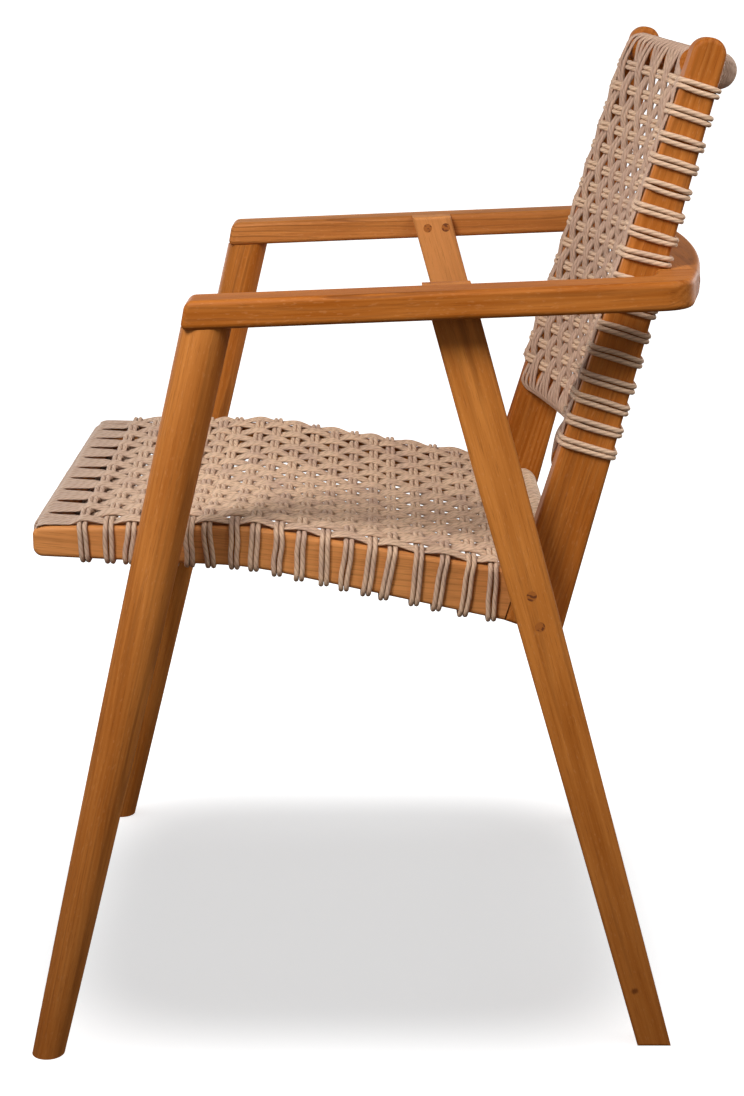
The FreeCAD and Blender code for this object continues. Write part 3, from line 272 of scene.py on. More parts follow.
# Back posts: teak boards that taper to a round tip, dowelled to the ends of the seat rails. Their
# grain runs along the front edge, which leans back.
POST_LEAN = math.radians(16.6)
POST_TURN = (POST_LEAN, 0, 0)
# The posts are given dark tones, the far one most, partly painted shade
near_post = oiled_teak("teak_post_left", POST_TURN, (-0.10, -0.09, 0.3), pale_and_painted_light=-0.06, figure=0.24)
dress(["back_post_left"], near_post)
far_post = oiled_teak("teak_post_right", POST_TURN, (0.25, 0.06, 1.5), pale_and_painted_light=-0.28, figure=0.24)
dress(["back_post_right"], far_post)

# Seat rails across the chair: a rounded bar in front and a round bar at the rear, dowelled in.
# Cord covers both, and the wood shows only in the gaps.
seat_bar_teak = oiled_teak("teak_seat_bars", ACROSS, (-0.41, 0.20, 0.4))
dress(["seat_front_rail", "seat_rear_rail"], seat_bar_teak)

# Back rails: round bars bent backwards, dowelled into the posts. Cord covers most of them, and
# the wood shows between the cords.
back_bar_teak = oiled_teak("teak_back_bars", ACROSS, (-0.70, -0.22, 1.1))
dress(["back_top_rail", "back_bottom_rail"], back_bar_teak)


# Plugs: short teak dowels glued over the screws and trimmed flush, so their end grain shows.
# It drinks more oil than the face of the boards and is a little darker.
PLUG_TURN = (0.4, 0.0, 0.0)
PLUG_SHINE = 0.35


def end_grain(name, turn):
    material, nodes, shader = new_finish(name)
    board = nodes.add("ShaderNodeMapping", None, {"Vector": nodes.place(), "Rotation": turn})
    pores = nodes.noise(board, 2400.0, 2.0, 0.6)
    marks = nodes.between(nodes.noise(nodes.stretch(board, (1.0, 0.6, 1.0)), 330.0, 1.0), 0.47, 0.58)
    colour = nodes.blend(pores * 0.8 - 0.1, TEAK_MIDDLE, TEAK_LIGHT)
    colour = nodes.blend(marks * 0.78 + 0.12, colour, TEAK_DARK)
    roughness = 0.46 + pores * 0.2
    set_surface(nodes, shader, colour, roughness, PLUG_SHINE, pores, strength=0.3, depth=0.0002)
    return material


plug_finish = end_grain("teak_plug", PLUG_TURN)
dress(["seat_joint_plugs", "arm_joint_plugs", "back_rail_plugs", "stretcher_plugs"], plug_finish)

# Dowels: turned hardwood pins glued into both pieces of a joint, hidden once it is closed. They
# are teak too, with its grain across the chair.
dowel_finish = oiled_teak("teak_dowel", ACROSS, (0.30, 0.12, 0.5))
DOWELS = ["arm_leg_dowels", "stretcher_dowels", "seat_rail_dowels", "back_rail_dowels"]
dress(DOWELS + ["post_rail_dowels", "arm_corner_dowels"], dowel_finish)


# Screws: countersunk stainless screws below the plugs, which hold the joints together. They are
# drawn steel with fine turning marks.
STEEL_DARK = (0.42, 0.41, 0.40, 1.0)
STEEL_LIGHT = (0.66, 0.65, 0.63, 1.0)


def turned_steel(name):
    material, nodes, shader = new_finish(name)
    turning = nodes.noise(nodes.stretch(nodes.place(), (1.0, 0.2, 0.2)), 3000.0, 2.0)
    nodes.feed(shader.inputs["Base Color"], nodes.blend(turning, STEEL_DARK, STEEL_LIGHT))
    nodes.feed(shader.inputs["Roughness"], 0.22 + turning * 0.2)
    shader.inputs["Metallic"].default_value = 1.0
    return material


SCREWS = ["seat_joint_screws", "arm_joint_screws", "back_rail_screws", "stretcher_screws"]
dress(SCREWS, turned_steel("stainless_screw"))


# Seat warps: laid paper cord in pairs, tied below the second weft, looped round the front rail and
# run over the seat to the rear rail. On the front rail the cords are pressed flat and lie edge to
# edge, and behind it each pair dips under every second weft.
CORD_RADIUS = 0.00225
CORD_STEP = 0.0026
CORD_SIDES = 8
WAVER_FINENESS = 55.0


def cord_tree():
    """Geometry nodes that lay a cord along each run: a round cord, pressed wide and thin as asked."""
    tree = bpy.data.node_groups.new("laid_cord", "GeometryNodeTree")
    for label, kind in (
        ("Runs", "NodeSocketGeometry"),
        ("Cord radius", "NodeSocketFloat"),
        ("Step", "NodeSocketFloat"),
        ("Waver", "NodeSocketFloat"),
        ("Seed", "NodeSocketFloat"),
        ("Finish", "NodeSocketMaterial"),
    ):
        tree.interface.new_socket(label, in_out="INPUT", socket_type=kind)
    tree.interface.new_socket("Cords", in_out="OUTPUT", socket_type="NodeSocketGeometry")
    nodes = Nodes(tree)

    def given(label):
        return nodes.add("NodeGroupInput", output=label)

    def kept(geometry, name, kind, value):
        settings = {"data_type": kind, "domain": "POINT"}
        sockets = {"Geometry": geometry, "Name": name, "Value": value}
        return nodes.add("GeometryNodeStoreNamedAttribute", settings, sockets)

    def recalled(name, kind):
        return nodes.add("GeometryNodeInputNamedAttribute", {"data_type": kind}, {"Name": name})

    def scaled(value, factor):
        sockets = {0: value, "Scale": factor}
        return nodes.add("ShaderNodeVectorMath", {"operation": "SCALE"}, sockets)

    # The line of each cord, with a slight waver
    curve = nodes.add("GeometryNodeMeshToCurve", None, {"Mesh": given("Runs")})
    settings = {"spline_type": "CATMULL_ROM"}
    curve = nodes.add("GeometryNodeCurveSplineType", settings, {"Curve": curve})
    sockets = {"Curve": curve, "Length": given("Step")}
    curve = nodes.add("GeometryNodeResampleCurve", {"mode": "LENGTH"}, sockets)
    here = nodes.add("GeometryNodeInputPosition")
    sockets = {"Vector": here, "W": given("Seed"), "Scale": WAVER_FINENESS, "Detail": 1.0}
    wander = nodes.add("ShaderNodeTexNoise", {"noise_dimensions": "4D"}, sockets, "Color")
    wander = scaled(nodes.vector("SUBTRACT", wander, (0.5, 0.5, 0.5)), given("Waver") * 2.0)
    curve = nodes.add("GeometryNodeSetPosition", None, {"Geometry": curve, "Offset": wander})
    curve = kept(curve, "middle", "FLOAT_VECTOR", here)
    curve = kept(curve, "side", "FLOAT_VECTOR", nodes.add("GeometryNodeInputNormal"))
    length = nodes.add("GeometryNodeSplineParameter", output="Length")
    curve = kept(curve, "along", "FLOAT", length)

    # The round cord on that line
    sockets = {"Resolution": CORD_SIDES, "Radius": given("Cord radius")}
    ring = nodes.add("GeometryNodeCurvePrimitiveCircle", None, sockets)
    ring = kept(ring, "ring", "FLOAT_VECTOR", nodes.vector("NORMALIZE", here))
    sockets = {"Curve": curve, "Profile Curve": ring, "Fill Caps": True}
    cords = nodes.add("GeometryNodeCurveToMesh", None, sockets)

    # The cord pressed out of round: wide to its sides, thin across them
    side = recalled("side", "FLOAT_VECTOR")
    reach = nodes.vector("SUBTRACT", here, recalled("middle", "FLOAT_VECTOR"))
    sideways = scaled(side, nodes.vector("DOT_PRODUCT", reach, side, output="Value"))
    upright = nodes.vector("SUBTRACT", reach, sideways)
    widen = scaled(sideways, recalled("wide", "FLOAT") - 1.0)
    flatten = scaled(upright, recalled("thin", "FLOAT") - 1.0)
    sockets = {"Geometry": cords, "Offset": nodes.vector("ADD", widen, flatten)}
    cords = nodes.add("GeometryNodeSetPosition", None, sockets)
    for name in ("middle", "side", "wide", "thin"):
        cords = nodes.add("GeometryNodeRemoveAttribute", None, {"Geometry": cords, "Name": name})
    cords = nodes.add("GeometryNodeSetShadeSmooth", None, {"Geometry": cords})
    cords = nodes.add("GeometryNodeRealizeInstances", None, {"Geometry": cords})
    sockets = {"Geometry": cords, "Material": given("Finish")}
    cords = nodes.add("GeometryNodeSetMaterial", None, sockets)
    nodes.feed(tree.nodes.new("NodeGroupOutput").inputs["Cords"], cords)
    return tree


CORD_PALE = (0.67, 0.455, 0.305, 1.0)
CORD_ROSE = (0.50, 0.328, 0.238, 1.0)
CORD_GROOVE_SHADE_AND_FIBRES = (0.240, 0.140, 0.085, 1.0)
CORD_FRONT_GREY = (0.40, 0.285, 0.225, 1.0)
CORD_SHINE = 0.28
GREY_FRONT, GREY_BACK = -0.27, -0.13
CORD_LAY = 0.021
CORD_STRANDS = 3.0
GROOVE_SHARE, FIBRE_SHARE = 0.38, 0.26


def paper_cord(name, rosy_and_painted_light, front_grey=0.0):
    """Laid cord of twisted brown paper: three strands wound round each other, with fine fibres,
    and painted shade in the grooves between the strands. The rosy tone shifts it between pale and
    rose, partly its own tone and partly painted light and shade on each part, and the front grey is
    how much greyer and darker it is towards the front of the seat."""
    material, nodes, shader = new_finish(name)
    place = nodes.place()
    along = nodes.add("ShaderNodeAttribute", {"attribute_name": "along"}, None, "Fac")
    ring = nodes.add("ShaderNodeAttribute", {"attribute_name": "ring"}, None, "Vector")
    ring_x = nodes.axis(ring, "X")
    ring_y = nodes.axis(ring, "Y")
    angle = nodes.add("ShaderNodeMath", {"operation": "ARCTAN2"}, {0: ring_y, 1: ring_x})
    slack = nodes.noise(place, 60.0, 1.0)
    twist = along * (math.tau / CORD_LAY) + slack * 1.6
    strands = nodes.sine((angle + twist) * CORD_STRANDS) * 0.5 + 0.5
    sockets = {"X": along * 120.0, "Y": ring_x * 6.0, "Z": ring_y * 6.0}
    fibre_place = nodes.add("ShaderNodeCombineXYZ", None, sockets)
    fibres = nodes.noise(fibre_place, 1.0, 3.0, 0.6)
    patches = nodes.noise(place, 38.0, 2.0)

    # The rosy tone shifts each part between pale and rose: partly its own tone, partly painted light
    # and shade
    colour = nodes.blend(nodes.between(patches + rosy_and_painted_light, 0.35, 0.75), CORD_PALE, CORD_ROSE)
    if front_grey > 0:
        back = nodes.axis(place, "Y")
        front = 1.0 - nodes.between(back + patches * 0.06, GREY_FRONT, GREY_BACK)
        colour = nodes.blend(front * front_grey, colour, CORD_FRONT_GREY)
    # Painted shade in the grooves between the strands, and the cord's own darker fibres
    painted_groove_shade = 1.0 - nodes.between(strands, 0.0, 0.42)
    groove_shade_and_fibres = painted_groove_shade * GROOVE_SHARE + nodes.between(fibres, 0.55, 0.8) * FIBRE_SHARE
    colour = nodes.blend(groove_shade_and_fibres, colour, CORD_GROOVE_SHADE_AND_FIBRES)
    roughness = 0.62 + fibres * 0.2
    relief = nodes.between(strands, 0.0, 0.8) + fibres * 0.35
    set_surface(nodes, shader, colour, roughness, CORD_SHINE, relief, strength=0.38, depth=0.0006)
    return material


laid_cord = cord_tree()
sockets_of_cord = {
    item.name: item.identifier for item in laid_cord.interface.items_tree if item.in_out == "INPUT"
}


def lay_cords(name, runs, waver, seed, finish, node):
    """One object of cords from their runs. A run's points hold a place, and how wide and thin."""
    mesh = bpy.data.meshes.new(name)
    points = [point for run in runs for point in run]
    links = []
    start = 0
    for run in runs:
        links += [(start + index, start + index + 1) for index in range(len(run) - 1)]
        start += len(run)
    mesh.from_pydata([point[0] for point in points], links, [])
    for label, index in (("wide", 1), ("thin", 2)):
        layer = mesh.attributes.new(label, "FLOAT", "POINT")
        layer.data.foreach_set("value", [point[index] for point in points])
    cords = bpy.data.objects.new(name, mesh)
    bpy.context.scene.collection.objects.link(cords)
    spin = cords.modifiers.new("cords", "NODES")
    spin.node_group = laid_cord
    for label, value in (
        ("Cord radius", CORD_RADIUS),
        ("Step", CORD_STEP),
        ("Waver", waver),
        ("Seed", seed),
        ("Finish", finish),
    ):
        spin[sockets_of_cord[label]] = value
    ready = bpy.context.evaluated_depsgraph_get()
    woven = bpy.data.meshes.new_from_object(
        cords.evaluated_get(ready), preserve_all_data_layers=True, depsgraph=ready
    )
    cords.modifiers.remove(spin)
    cords.data = woven
    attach(cords, "root")
    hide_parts(node)


def spaced(first, last, count):
    return [first + (last - first) * index / (count - 1) for index in range(count)]


def at_angle(centre, radius, angle):
    """A place on a round corner: its angle, in degrees, goes from the first axis to the second."""
    turn = math.radians(angle)
    return centre[0] + radius * math.cos(turn), centre[1] + radius * math.sin(turn)


def arc(centre, radius, first, last, count):
    """Places round a corner, from one angle to another."""
    return [at_angle(centre, radius, angle) for angle in spaced(first, last, count)]


def reading(value, table):
    """Straight-line reading of a table of places and values."""
    for (start, low), (end, high) in zip(table, table[1:]):
        if value <= end:
            return low + (high - low) * max(0.0, value - start) / (end - start)
    return table[-1][1]


MILLIMETRE = 0.001
FRAME_INNER, FRAME_OUTER, FRAME_EDGE = 0.182, 0.207, 0.004
SEAT_TOP = 0.448
SEAT_BEND = -0.11127
SEAT_FALL = math.tan(math.radians(9.76))
SEAT_SAG = 0.011
SAG_TABLE = [(-0.27041, 0.0), (-0.15696, 1.0), (0.0, 1.0), (0.10775, 0.0)]
SEAT_EDGE, SEAT_COLUMNS = 0.1965, 20
SEAT_WARPS = spaced(-SEAT_EDGE, SEAT_EDGE, SEAT_COLUMNS)
# The rows are spaced one by one: millimetres by which each is off an even spacing
SEAT_SLIPS = (0.0, 2.8, 2.9, 0.5, -2.5, -5.7, -10.1, -6.6, -8.0, -7.5)
SEAT_SLIPS += (-7.7, -7.1, -6.3, -5.7, -7.9, -4.8, -2.2, 0.8, 0.0)
EVEN_SEAT_ROWS = spaced(-0.24731, 0.08942, len(SEAT_SLIPS))
SEAT_ROWS = [y + slip * MILLIMETRE for y, slip in zip(EVEN_SEAT_ROWS, SEAT_SLIPS)]
# How far the cords rise and dip at a crossing, and how wide and thin they are pressed
WARP_DIP, WEFT_DIP = 0.0019, 0.0031
OVER_WIDE, UNDER_WIDE, WIDE_SPREAD, FIELD_THIN = 1.95, 1.67, 0.07, 0.92
PRESSED_LIFT = 0.0018
# On the wood of a rail the crossing cords are pressed thinner
WOOD_LIFT = 0.00325
WOOD_WARP_DIP, WOOD_WARP_THIN = 0.0017, 0.62
# The cords of a pair are pressed against each other, so they lie a little closer than they are wide
PAIR_SHARE = 0.985
SEAT_NUDGE = 0.0004
TAIL = 0.004


def rail_top(y):
    return SEAT_TOP - max(0.0, y - SEAT_BEND) * SEAT_FALL


def seat_level(x, y):
    """Height of the middle of the weave, which lies on the side rails and sags between them."""
    sag = SEAT_SAG * max(0.0, 1 - (x / FRAME_INNER) ** 2) * reading(y, SAG_TABLE)
    return rail_top(y) + WOOD_LIFT - sag


# Each arc has its first angle, its last and its number of points: 90 is up and 180 forward
TIE_ARC, BELOW_ARC, FACE_ARC = (292, 276, 2), (270, 180, 4), (180, 96, 4)
EDGE_ARC, EDGE_LIFT, EDGE_THIN = (122, 96, 3), 0.0010, 0.42
FRONT_EDGE = 0.008
FRONT_WIDE, FRONT_THIN, FRONT_LIFT = 2.25, 0.60, 0.0015
front_low, front_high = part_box("seat_front_rail")
low_corner = (front_low[1] + FRONT_EDGE, front_low[2] + FRONT_EDGE)
high_corner = (front_low[1] + FRONT_EDGE, front_high[2] - FRONT_EDGE)
back_corner = (front_high[1] - FRONT_EDGE, front_low[2] + FRONT_EDGE)
front_turn = FRONT_EDGE + FRONT_LIFT
TIE_DROP = 0.0068
# Between the front rail and the first weft the warps narrow and part, which leaves dark slits
SLIT_SETBACK, SLIT_DIP, SLIT_SHARES = 0.004, 0.0026, (0.15, 0.45, 0.75)
FIRST_NARROW = 0.24
slit_start = front_low[1] + SLIT_SETBACK
REAR_WIDE, REAR_THIN, REAR_NEAR, REAR_ROOM = 2.0, 0.78, 0.106, 2.1
REAR_ARC = (104, -80, 7)
rear_low, rear_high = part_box("seat_rear_rail")
rear_middle = ((rear_low[1] + rear_high[1]) / 2, (rear_low[2] + rear_high[2]) / 2)
rear_radius = (rear_high[2] - rear_low[2]) / 2

rng = random.Random(7)
seat_warp_runs = []
for column, x in enumerate(SEAT_WARPS):
    on_rail = abs(x) > FRAME_INNER
    if on_rail:
        dip, thin, front_thin = WOOD_WARP_DIP, WOOD_WARP_THIN, EDGE_THIN
        places = arc(high_corner, FRONT_EDGE + EDGE_LIFT, *EDGE_ARC)
    else:
        dip, thin, front_thin = WARP_DIP, FIELD_THIN, FRONT_THIN
        places = [(SEAT_ROWS[1], seat_level(x, SEAT_ROWS[1]) - TIE_DROP)]
        places += arc(back_corner, front_turn, *TIE_ARC)
        places += arc(low_corner, front_turn, *BELOW_ARC)
        places += arc(high_corner, front_turn, *FACE_ARC)
    # Each place holds its way back, its height, and how wide and thin
    line = [(y, z, FRONT_WIDE, front_thin) for y, z in places]
    over_first = column % 2
    first_wide = (OVER_WIDE if over_first else UNDER_WIDE) - FIRST_NARROW
    first_dip = 0.0 if over_first or on_rail else SLIT_DIP
    for share in SLIT_SHARES:
        y = slit_start + (SEAT_ROWS[0] - slit_start) * share
        z = front_high[2] + FRONT_LIFT - first_dip * math.sqrt(share)
        wide = FRONT_WIDE + (first_wide - FRONT_WIDE) * math.sqrt(share)
        line.append((y, z, wide, front_thin))
    for row, y in enumerate(SEAT_ROWS):
        over = (row + column) % 2
        wide = (OVER_WIDE if over else UNDER_WIDE) + rng.uniform(-WIDE_SPREAD, WIDE_SPREAD)
        z = seat_level(x, y) + (dip if over else -dip)
        if row == 0:
            wide -= FIRST_NARROW
            z -= first_dip
        line.append((y, z, wide, thin))
    if on_rail:
        y = SEAT_ROWS[-1] + TAIL
        line.append((y, rail_top(y) + PRESSED_LIFT, UNDER_WIDE, thin))
    else:
        rear_wide = min(REAR_WIDE, (FRAME_INNER - abs(x)) / (REAR_ROOM * CORD_RADIUS))
        line.append((REAR_NEAR, rail_top(REAR_NEAR) + PRESSED_LIFT, rear_wide, FIELD_THIN))
        for y, z in arc(rear_middle, rear_radius + PRESSED_LIFT, *REAR_ARC):
            line.append((y, z, rear_wide, REAR_THIN))
    for hand in (-1, 1):
        nudge = rng.uniform(-SEAT_NUDGE, SEAT_NUDGE)
        run = []
        for y, z, wide, thin in line:
            cord_x = x + nudge + hand * CORD_RADIUS * wide * PAIR_SHARE
            run.append(((cord_x, y, z), wide, thin))
        seat_warp_runs.append(run)
SEAT_WARP_WAVER, SEAT_WARP_SEED = 0.0003, 1.0
seat_cord = paper_cord("paper_cord_seat", rosy_and_painted_light=-0.06, front_grey=0.75)
lay_cords("seat_warps", seat_warp_runs, SEAT_WARP_WAVER, SEAT_WARP_SEED, seat_cord, "seat_warp_cords")

# Seat wefts: the same cord in round pairs, run across the seat from rail to rail. Each pair comes
# up round the outside of a side rail, over or under the warp on its top, and weaves on across.
STRAP_WIDE, STRAP_THIN = 0.93, 0.80
CORD_CLEARANCE = 0.0002
CORD_LIFT = CORD_RADIUS * STRAP_THIN + CORD_CLEARANCE
EDGE_TURN = FRAME_EDGE + CORD_LIFT
RAIL_BOTTOM = [(-0.28841, 0.4226), (-0.11127, 0.4138), (0.0988, 0.3677)]
UNDER_REACH = 0.0187
PAIR_CLOSE, PAIR_OPEN = 0.00225, 0.00254
STRAP_HALF = PAIR_OPEN + CORD_RADIUS
WOOD_WEFT_DIP, WOOD_WEFT_THIN = 0.0016, 0.70
SEAT_WEFT_THIN = 0.95
# Where a strap that crosses over the outermost warp starts down, outwards from the warp's middle
OVER_REACH = 0.0063
# Arcs round the edges of a rail, as above, but 0 is outwards and 90 up
RAIL_LOW_ARC, OVER_ARC, UNDER_ARC = (-90, 0, 4), (0, 50, 4), (0, 90, 4)
RAIL_SHARES = (0.35, 0.65)
# How far the straps lean on the rails: the foot's way forward as a share of the strap's height
STRAP_LEANS = (-0.065, -0.015, 0.11, 0.05, -0.05, 0.02, -0.067, 0.016, 0.06, 0.06)
STRAP_LEANS += (0.07, 0.04, 0.117, 0.143, 0.184, 0.103, 0.168, 0.16, 0.03)
# How unevenly the straps were pulled tight
SEAT_OPENING, SEAT_TWIST, SEAT_BULGE = (0.7, 1.3), 0.0007, 0.0004


def round_corner(edge_x, over, lift, dip, pressed):
    """Across, outwards and how thin: round the outer edge of a rail or post to its own warp."""
    turn = OVER_ARC if over else UNDER_ARC
    places = arc((FRAME_OUTER - FRAME_EDGE, -FRAME_EDGE), EDGE_TURN, *turn)
    line = [(across, out, STRAP_THIN) for across, out in places]
    if over:
        line.append((edge_x + OVER_REACH, lift, STRAP_THIN))
    line.append((edge_x, lift + (dip if over else -dip), pressed))
    return line


def wrap_side(top, bottom, under, over):
    """Across, up and how thin: from under a rail round its outer face to the warp on its top."""
    line = []
    if under:
        line.append((FRAME_OUTER - UNDER_REACH, bottom - CORD_LIFT))
        line += arc((FRAME_OUTER - FRAME_EDGE, bottom + FRAME_EDGE), EDGE_TURN, *RAIL_LOW_ARC)
    else:
        line.append((FRAME_OUTER + CORD_LIFT, bottom + CORD_LIFT))
    line += [(FRAME_OUTER + CORD_LIFT, bottom + (top - bottom) * share) for share in RAIL_SHARES]
    line = [(across, up, STRAP_THIN) for across, up in line]
    corner = round_corner(SEAT_WARPS[-1], over, WOOD_LIFT, WOOD_WEFT_DIP, WOOD_WEFT_THIN)
    return line + [(across, top + out, thin) for across, out, thin in corner]


def half_gap(opening, swell):
    """How far a cord lies from the middle of its strap, which opens most halfway along."""
    return PAIR_CLOSE + (PAIR_OPEN - PAIR_CLOSE) * opening * swell


stretcher_low, stretcher_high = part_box("front_stretcher")
rng = random.Random(11)
seat_weft_runs = []
for row, (y, lean) in enumerate(zip(SEAT_ROWS, STRAP_LEANS)):
    top, bottom = rail_top(y), reading(y, RAIL_BOTTOM)
    foot = y - lean * (top - bottom)
    on_stretcher = stretcher_low[1] - STRAP_HALF < foot < stretcher_high[1] + STRAP_HALF
    overs = [(row + column) % 2 == 0 for column in range(len(SEAT_WARPS))]
    field = [
        (x, seat_level(x, y) + (WEFT_DIP if over else -WEFT_DIP))
        for x, over in zip(SEAT_WARPS, overs) if abs(x) < FRAME_INNER
    ]
    opening = rng.uniform(*SEAT_OPENING)
    twist = rng.uniform(-SEAT_TWIST, SEAT_TWIST)
    for hand in (-1, 1):
        run = []
        bulge = rng.uniform(-SEAT_BULGE, SEAT_BULGE)
        for end, over in ((-1, overs[0]), (1, overs[-1])):
            edge = []
            for across, up, thin in wrap_side(top, bottom, not on_stretcher, over):
                down = min(1.0, max(0.0, (top - up) / (top - bottom)))
                swell = math.sin(math.pi * down)
                shift = twist * math.sin(math.tau * down) + bulge * swell - lean * max(0.0, top - up)
                cord_y = y + hand * half_gap(opening, swell) + shift
                edge.append(((end * across, cord_y, up), STRAP_WIDE, thin))
            if end < 0:
                run += edge
                run += [((x, y + hand * PAIR_CLOSE, z), 1.0, SEAT_WEFT_THIN) for x, z in field]
            else:
                run += edge[::-1]
        # A run that starts upright is pressed the other way round
        if on_stretcher:
            run = [(place, thin, wide) for place, wide, thin in run]
        seat_weft_runs.append(run)
SEAT_WEFT_WAVER, SEAT_WEFT_SEED = 0.0004, 2.0
seat_weft_cord = paper_cord("paper_cord_seat_weft", rosy_and_painted_light=0.02, front_grey=0.55)
lay_cords(
    "seat_wefts", seat_weft_runs, SEAT_WEFT_WAVER, SEAT_WEFT_SEED, seat_weft_cord, "seat_weft_cords"
)

# Back warps: pairs of the same cord from behind the bottom rail up the back and over the top rail.
# Both rails are bowed, so the woven back is hollow to lean into. The outermost pairs lie on the
# fronts of the posts, held by the wefts.
BACK_FOOT = Vector((0.0, 0.12273, SEAT_TOP))
RISE_WAY = Vector((0.0, math.sin(POST_LEAN), math.cos(POST_LEAN)))
BACK_WAY = Vector((0.0, math.cos(POST_LEAN), -math.sin(POST_LEAN)))
BOTTOM_RISE, BOTTOM_SETBACK, BOTTOM_BOW = 0.0570, 0.012, 0.040
TOP_RISE, TOP_SETBACK, TOP_BOW = 0.38688, 0.010, 0.043
WAIST_RISE, WAIST_BOW = (BOTTOM_RISE + TOP_RISE) / 2, 0.034
BAR_RADIUS = 0.012
BAR_REACH = BAR_RADIUS + PRESSED_LIFT
BOTTOM_LEVEL, TOP_LEVEL = BOTTOM_SETBACK - BAR_REACH, TOP_SETBACK - BAR_REACH
LEVEL_TABLE = [(BOTTOM_RISE, BOTTOM_LEVEL), (WAIST_RISE, 0.0), (TOP_RISE, TOP_LEVEL)]
BOW_TABLE = [(BOTTOM_RISE, BOTTOM_BOW), (WAIST_RISE, WAIST_BOW), (TOP_RISE, TOP_BOW)]
BACK_EDGE, BACK_FIELD, BACK_COLUMNS = 0.1945, 0.1745, 24
BACK_WARPS = [-BACK_EDGE] + spaced(-BACK_FIELD, BACK_FIELD, BACK_COLUMNS) + [BACK_EDGE]
# These rows are spaced one by one too, in millimetres off an even spacing
BACK_SLIPS = (1.6, 0.6, 0.1, -1.4, 0.7, 1.2, 1.5, 1.2)
BACK_SLIPS += (2.2, 0.6, -0.2, -0.7, -0.9, -2.7, -1.3, 0.3)
EVEN_BACK_ROWS = spaced(0.0735, 0.36938, len(BACK_SLIPS))
BACK_ROWS = [rise + slip * MILLIMETRE for rise, slip in zip(EVEN_BACK_ROWS, BACK_SLIPS)]
BACK_WARP_DIP = 0.0020
FRONT_PAIR_WIDE, REAR_PAIR_WIDE, PAIR_WIDE_SPREAD = 1.34, 1.06, 0.05
POST_LIFT, POST_WARP_DIP, POST_WARP_THIN = 0.0018, 0.0008, 0.38
BAR_WIDE, BAR_THIN = 1.62, 0.74
# Arcs round the bars of the back: 0 is up along the posts and 90 backwards
BOTTOM_ARC, TOP_ARC = (30, 260, 8), (-70, 160, 8)
BACK_NUDGE = 0.0005


def bow_at(x, bow):
    """Depth of a round bow at a place across the chair."""
    if bow == 0:
        return 0.0
    radius = (FRAME_INNER ** 2 + bow ** 2) / (2 * bow)
    return math.sqrt(radius ** 2 - x ** 2) - radius + bow


def back_level(x, rise):
    return reading(rise, LEVEL_TABLE) + bow_at(x, reading(rise, BOW_TABLE))


def on_back(x, rise, setback):
    """A place on the back: across, up along the posts' front edge, and behind it."""
    return BACK_FOOT + Vector((x, 0.0, 0.0)) + RISE_WAY * rise + BACK_WAY * setback


rng = random.Random(23)
back_warp_runs = []
for column, x in enumerate(BACK_WARPS):
    on_post = abs(x) > FRAME_INNER
    dip, thin = (POST_WARP_DIP, POST_WARP_THIN) if on_post else (BACK_WARP_DIP, FIELD_THIN)
    # Each place holds its rise, its setback at the posts, its bow, and how wide and thin
    line = []
    for row, rise in enumerate(BACK_ROWS):
        behind = (row + column) % 2
        wide = REAR_PAIR_WIDE if behind else FRONT_PAIR_WIDE
        wide += rng.uniform(-PAIR_WIDE_SPREAD, PAIR_WIDE_SPREAD)
        level = -POST_LIFT if on_post else reading(rise, LEVEL_TABLE)
        bow = 0 if on_post else reading(rise, BOW_TABLE)
        line.append((rise, level + (dip if behind else -dip), bow, wide, thin))
    if on_post:
        line.insert(0, (BACK_ROWS[0] - TAIL, -POST_WARP_DIP, 0, REAR_PAIR_WIDE, thin))
        line.append((BACK_ROWS[-1] + TAIL, -POST_WARP_DIP, 0, REAR_PAIR_WIDE, thin))
    else:
        places = arc((BOTTOM_RISE, BOTTOM_SETBACK), BAR_REACH, *BOTTOM_ARC)
        line = [(rise, level, BOTTOM_BOW, BAR_WIDE, BAR_THIN) for rise, level in places] + line
        places = arc((TOP_RISE, TOP_SETBACK), BAR_REACH, *TOP_ARC)
        line += [(rise, level, TOP_BOW, BAR_WIDE, BAR_THIN) for rise, level in places]
    for hand in (-1, 1):
        nudge = rng.uniform(-BACK_NUDGE, BACK_NUDGE)
        run = []
        for rise, level, bow, wide, thin in line:
            cord_x = x + nudge + hand * CORD_RADIUS * wide * PAIR_SHARE
            run.append((on_back(cord_x, rise, level + bow_at(cord_x, bow)), wide, thin))
        back_warp_runs.append(run)
BACK_WARP_WAVER, BACK_WARP_SEED = 0.0004, 3.0
# The back's warps are given a rosier, darker tone, partly painted shade
back_cord = paper_cord("paper_cord_back", rosy_and_painted_light=0.24)
lay_cords("back_warps", back_warp_runs, BACK_WARP_WAVER, BACK_WARP_SEED, back_cord, "back_warp_cords")

# Back wefts: round pairs across the back. Each end crosses the warp on a post, runs round the
# post's outside and is tucked in behind it. Where the arm rail is let in there is no room, and
# the ends stop in front of it or slip up past it.
POST_DEPTH = 0.047
POST_REAR = math.tan(math.radians(13.95))
ARM_RAIL_LOW, ARM_RAIL_HIGH = 0.6363, 0.6590
# How far below the arm rail's top an end still slips up past it, by how much it clears the rail,
# and how far in front of the post's rear edge the other ends stop
SLIP_REACH, SLIP_CLEARANCE, STOP_SHORT = 0.004, 0.0005, 0.008
POST_WEFT_DIP, POST_WEFT_THIN = 0.0009, 0.40
# Round the edges of a post 0 is outwards and 90 backwards
POST_REAR_ARC, POST_INNER_ANGLE = (90, 0, 4), -112
POST_SHARES = (0.6, 0.35)
BACK_OPENING, BACK_BULGE, BACK_SLIP = (0.6, 1.4), 0.0005, 0.0006


def post_depth(rise):
    """Depth of a post at a height, square to its front edge."""
    closing = rise * (POST_REAR * math.cos(POST_LEAN) - math.sin(POST_LEAN))
    return (POST_DEPTH + closing) / (math.cos(POST_LEAN) + POST_REAR * math.sin(POST_LEAN))


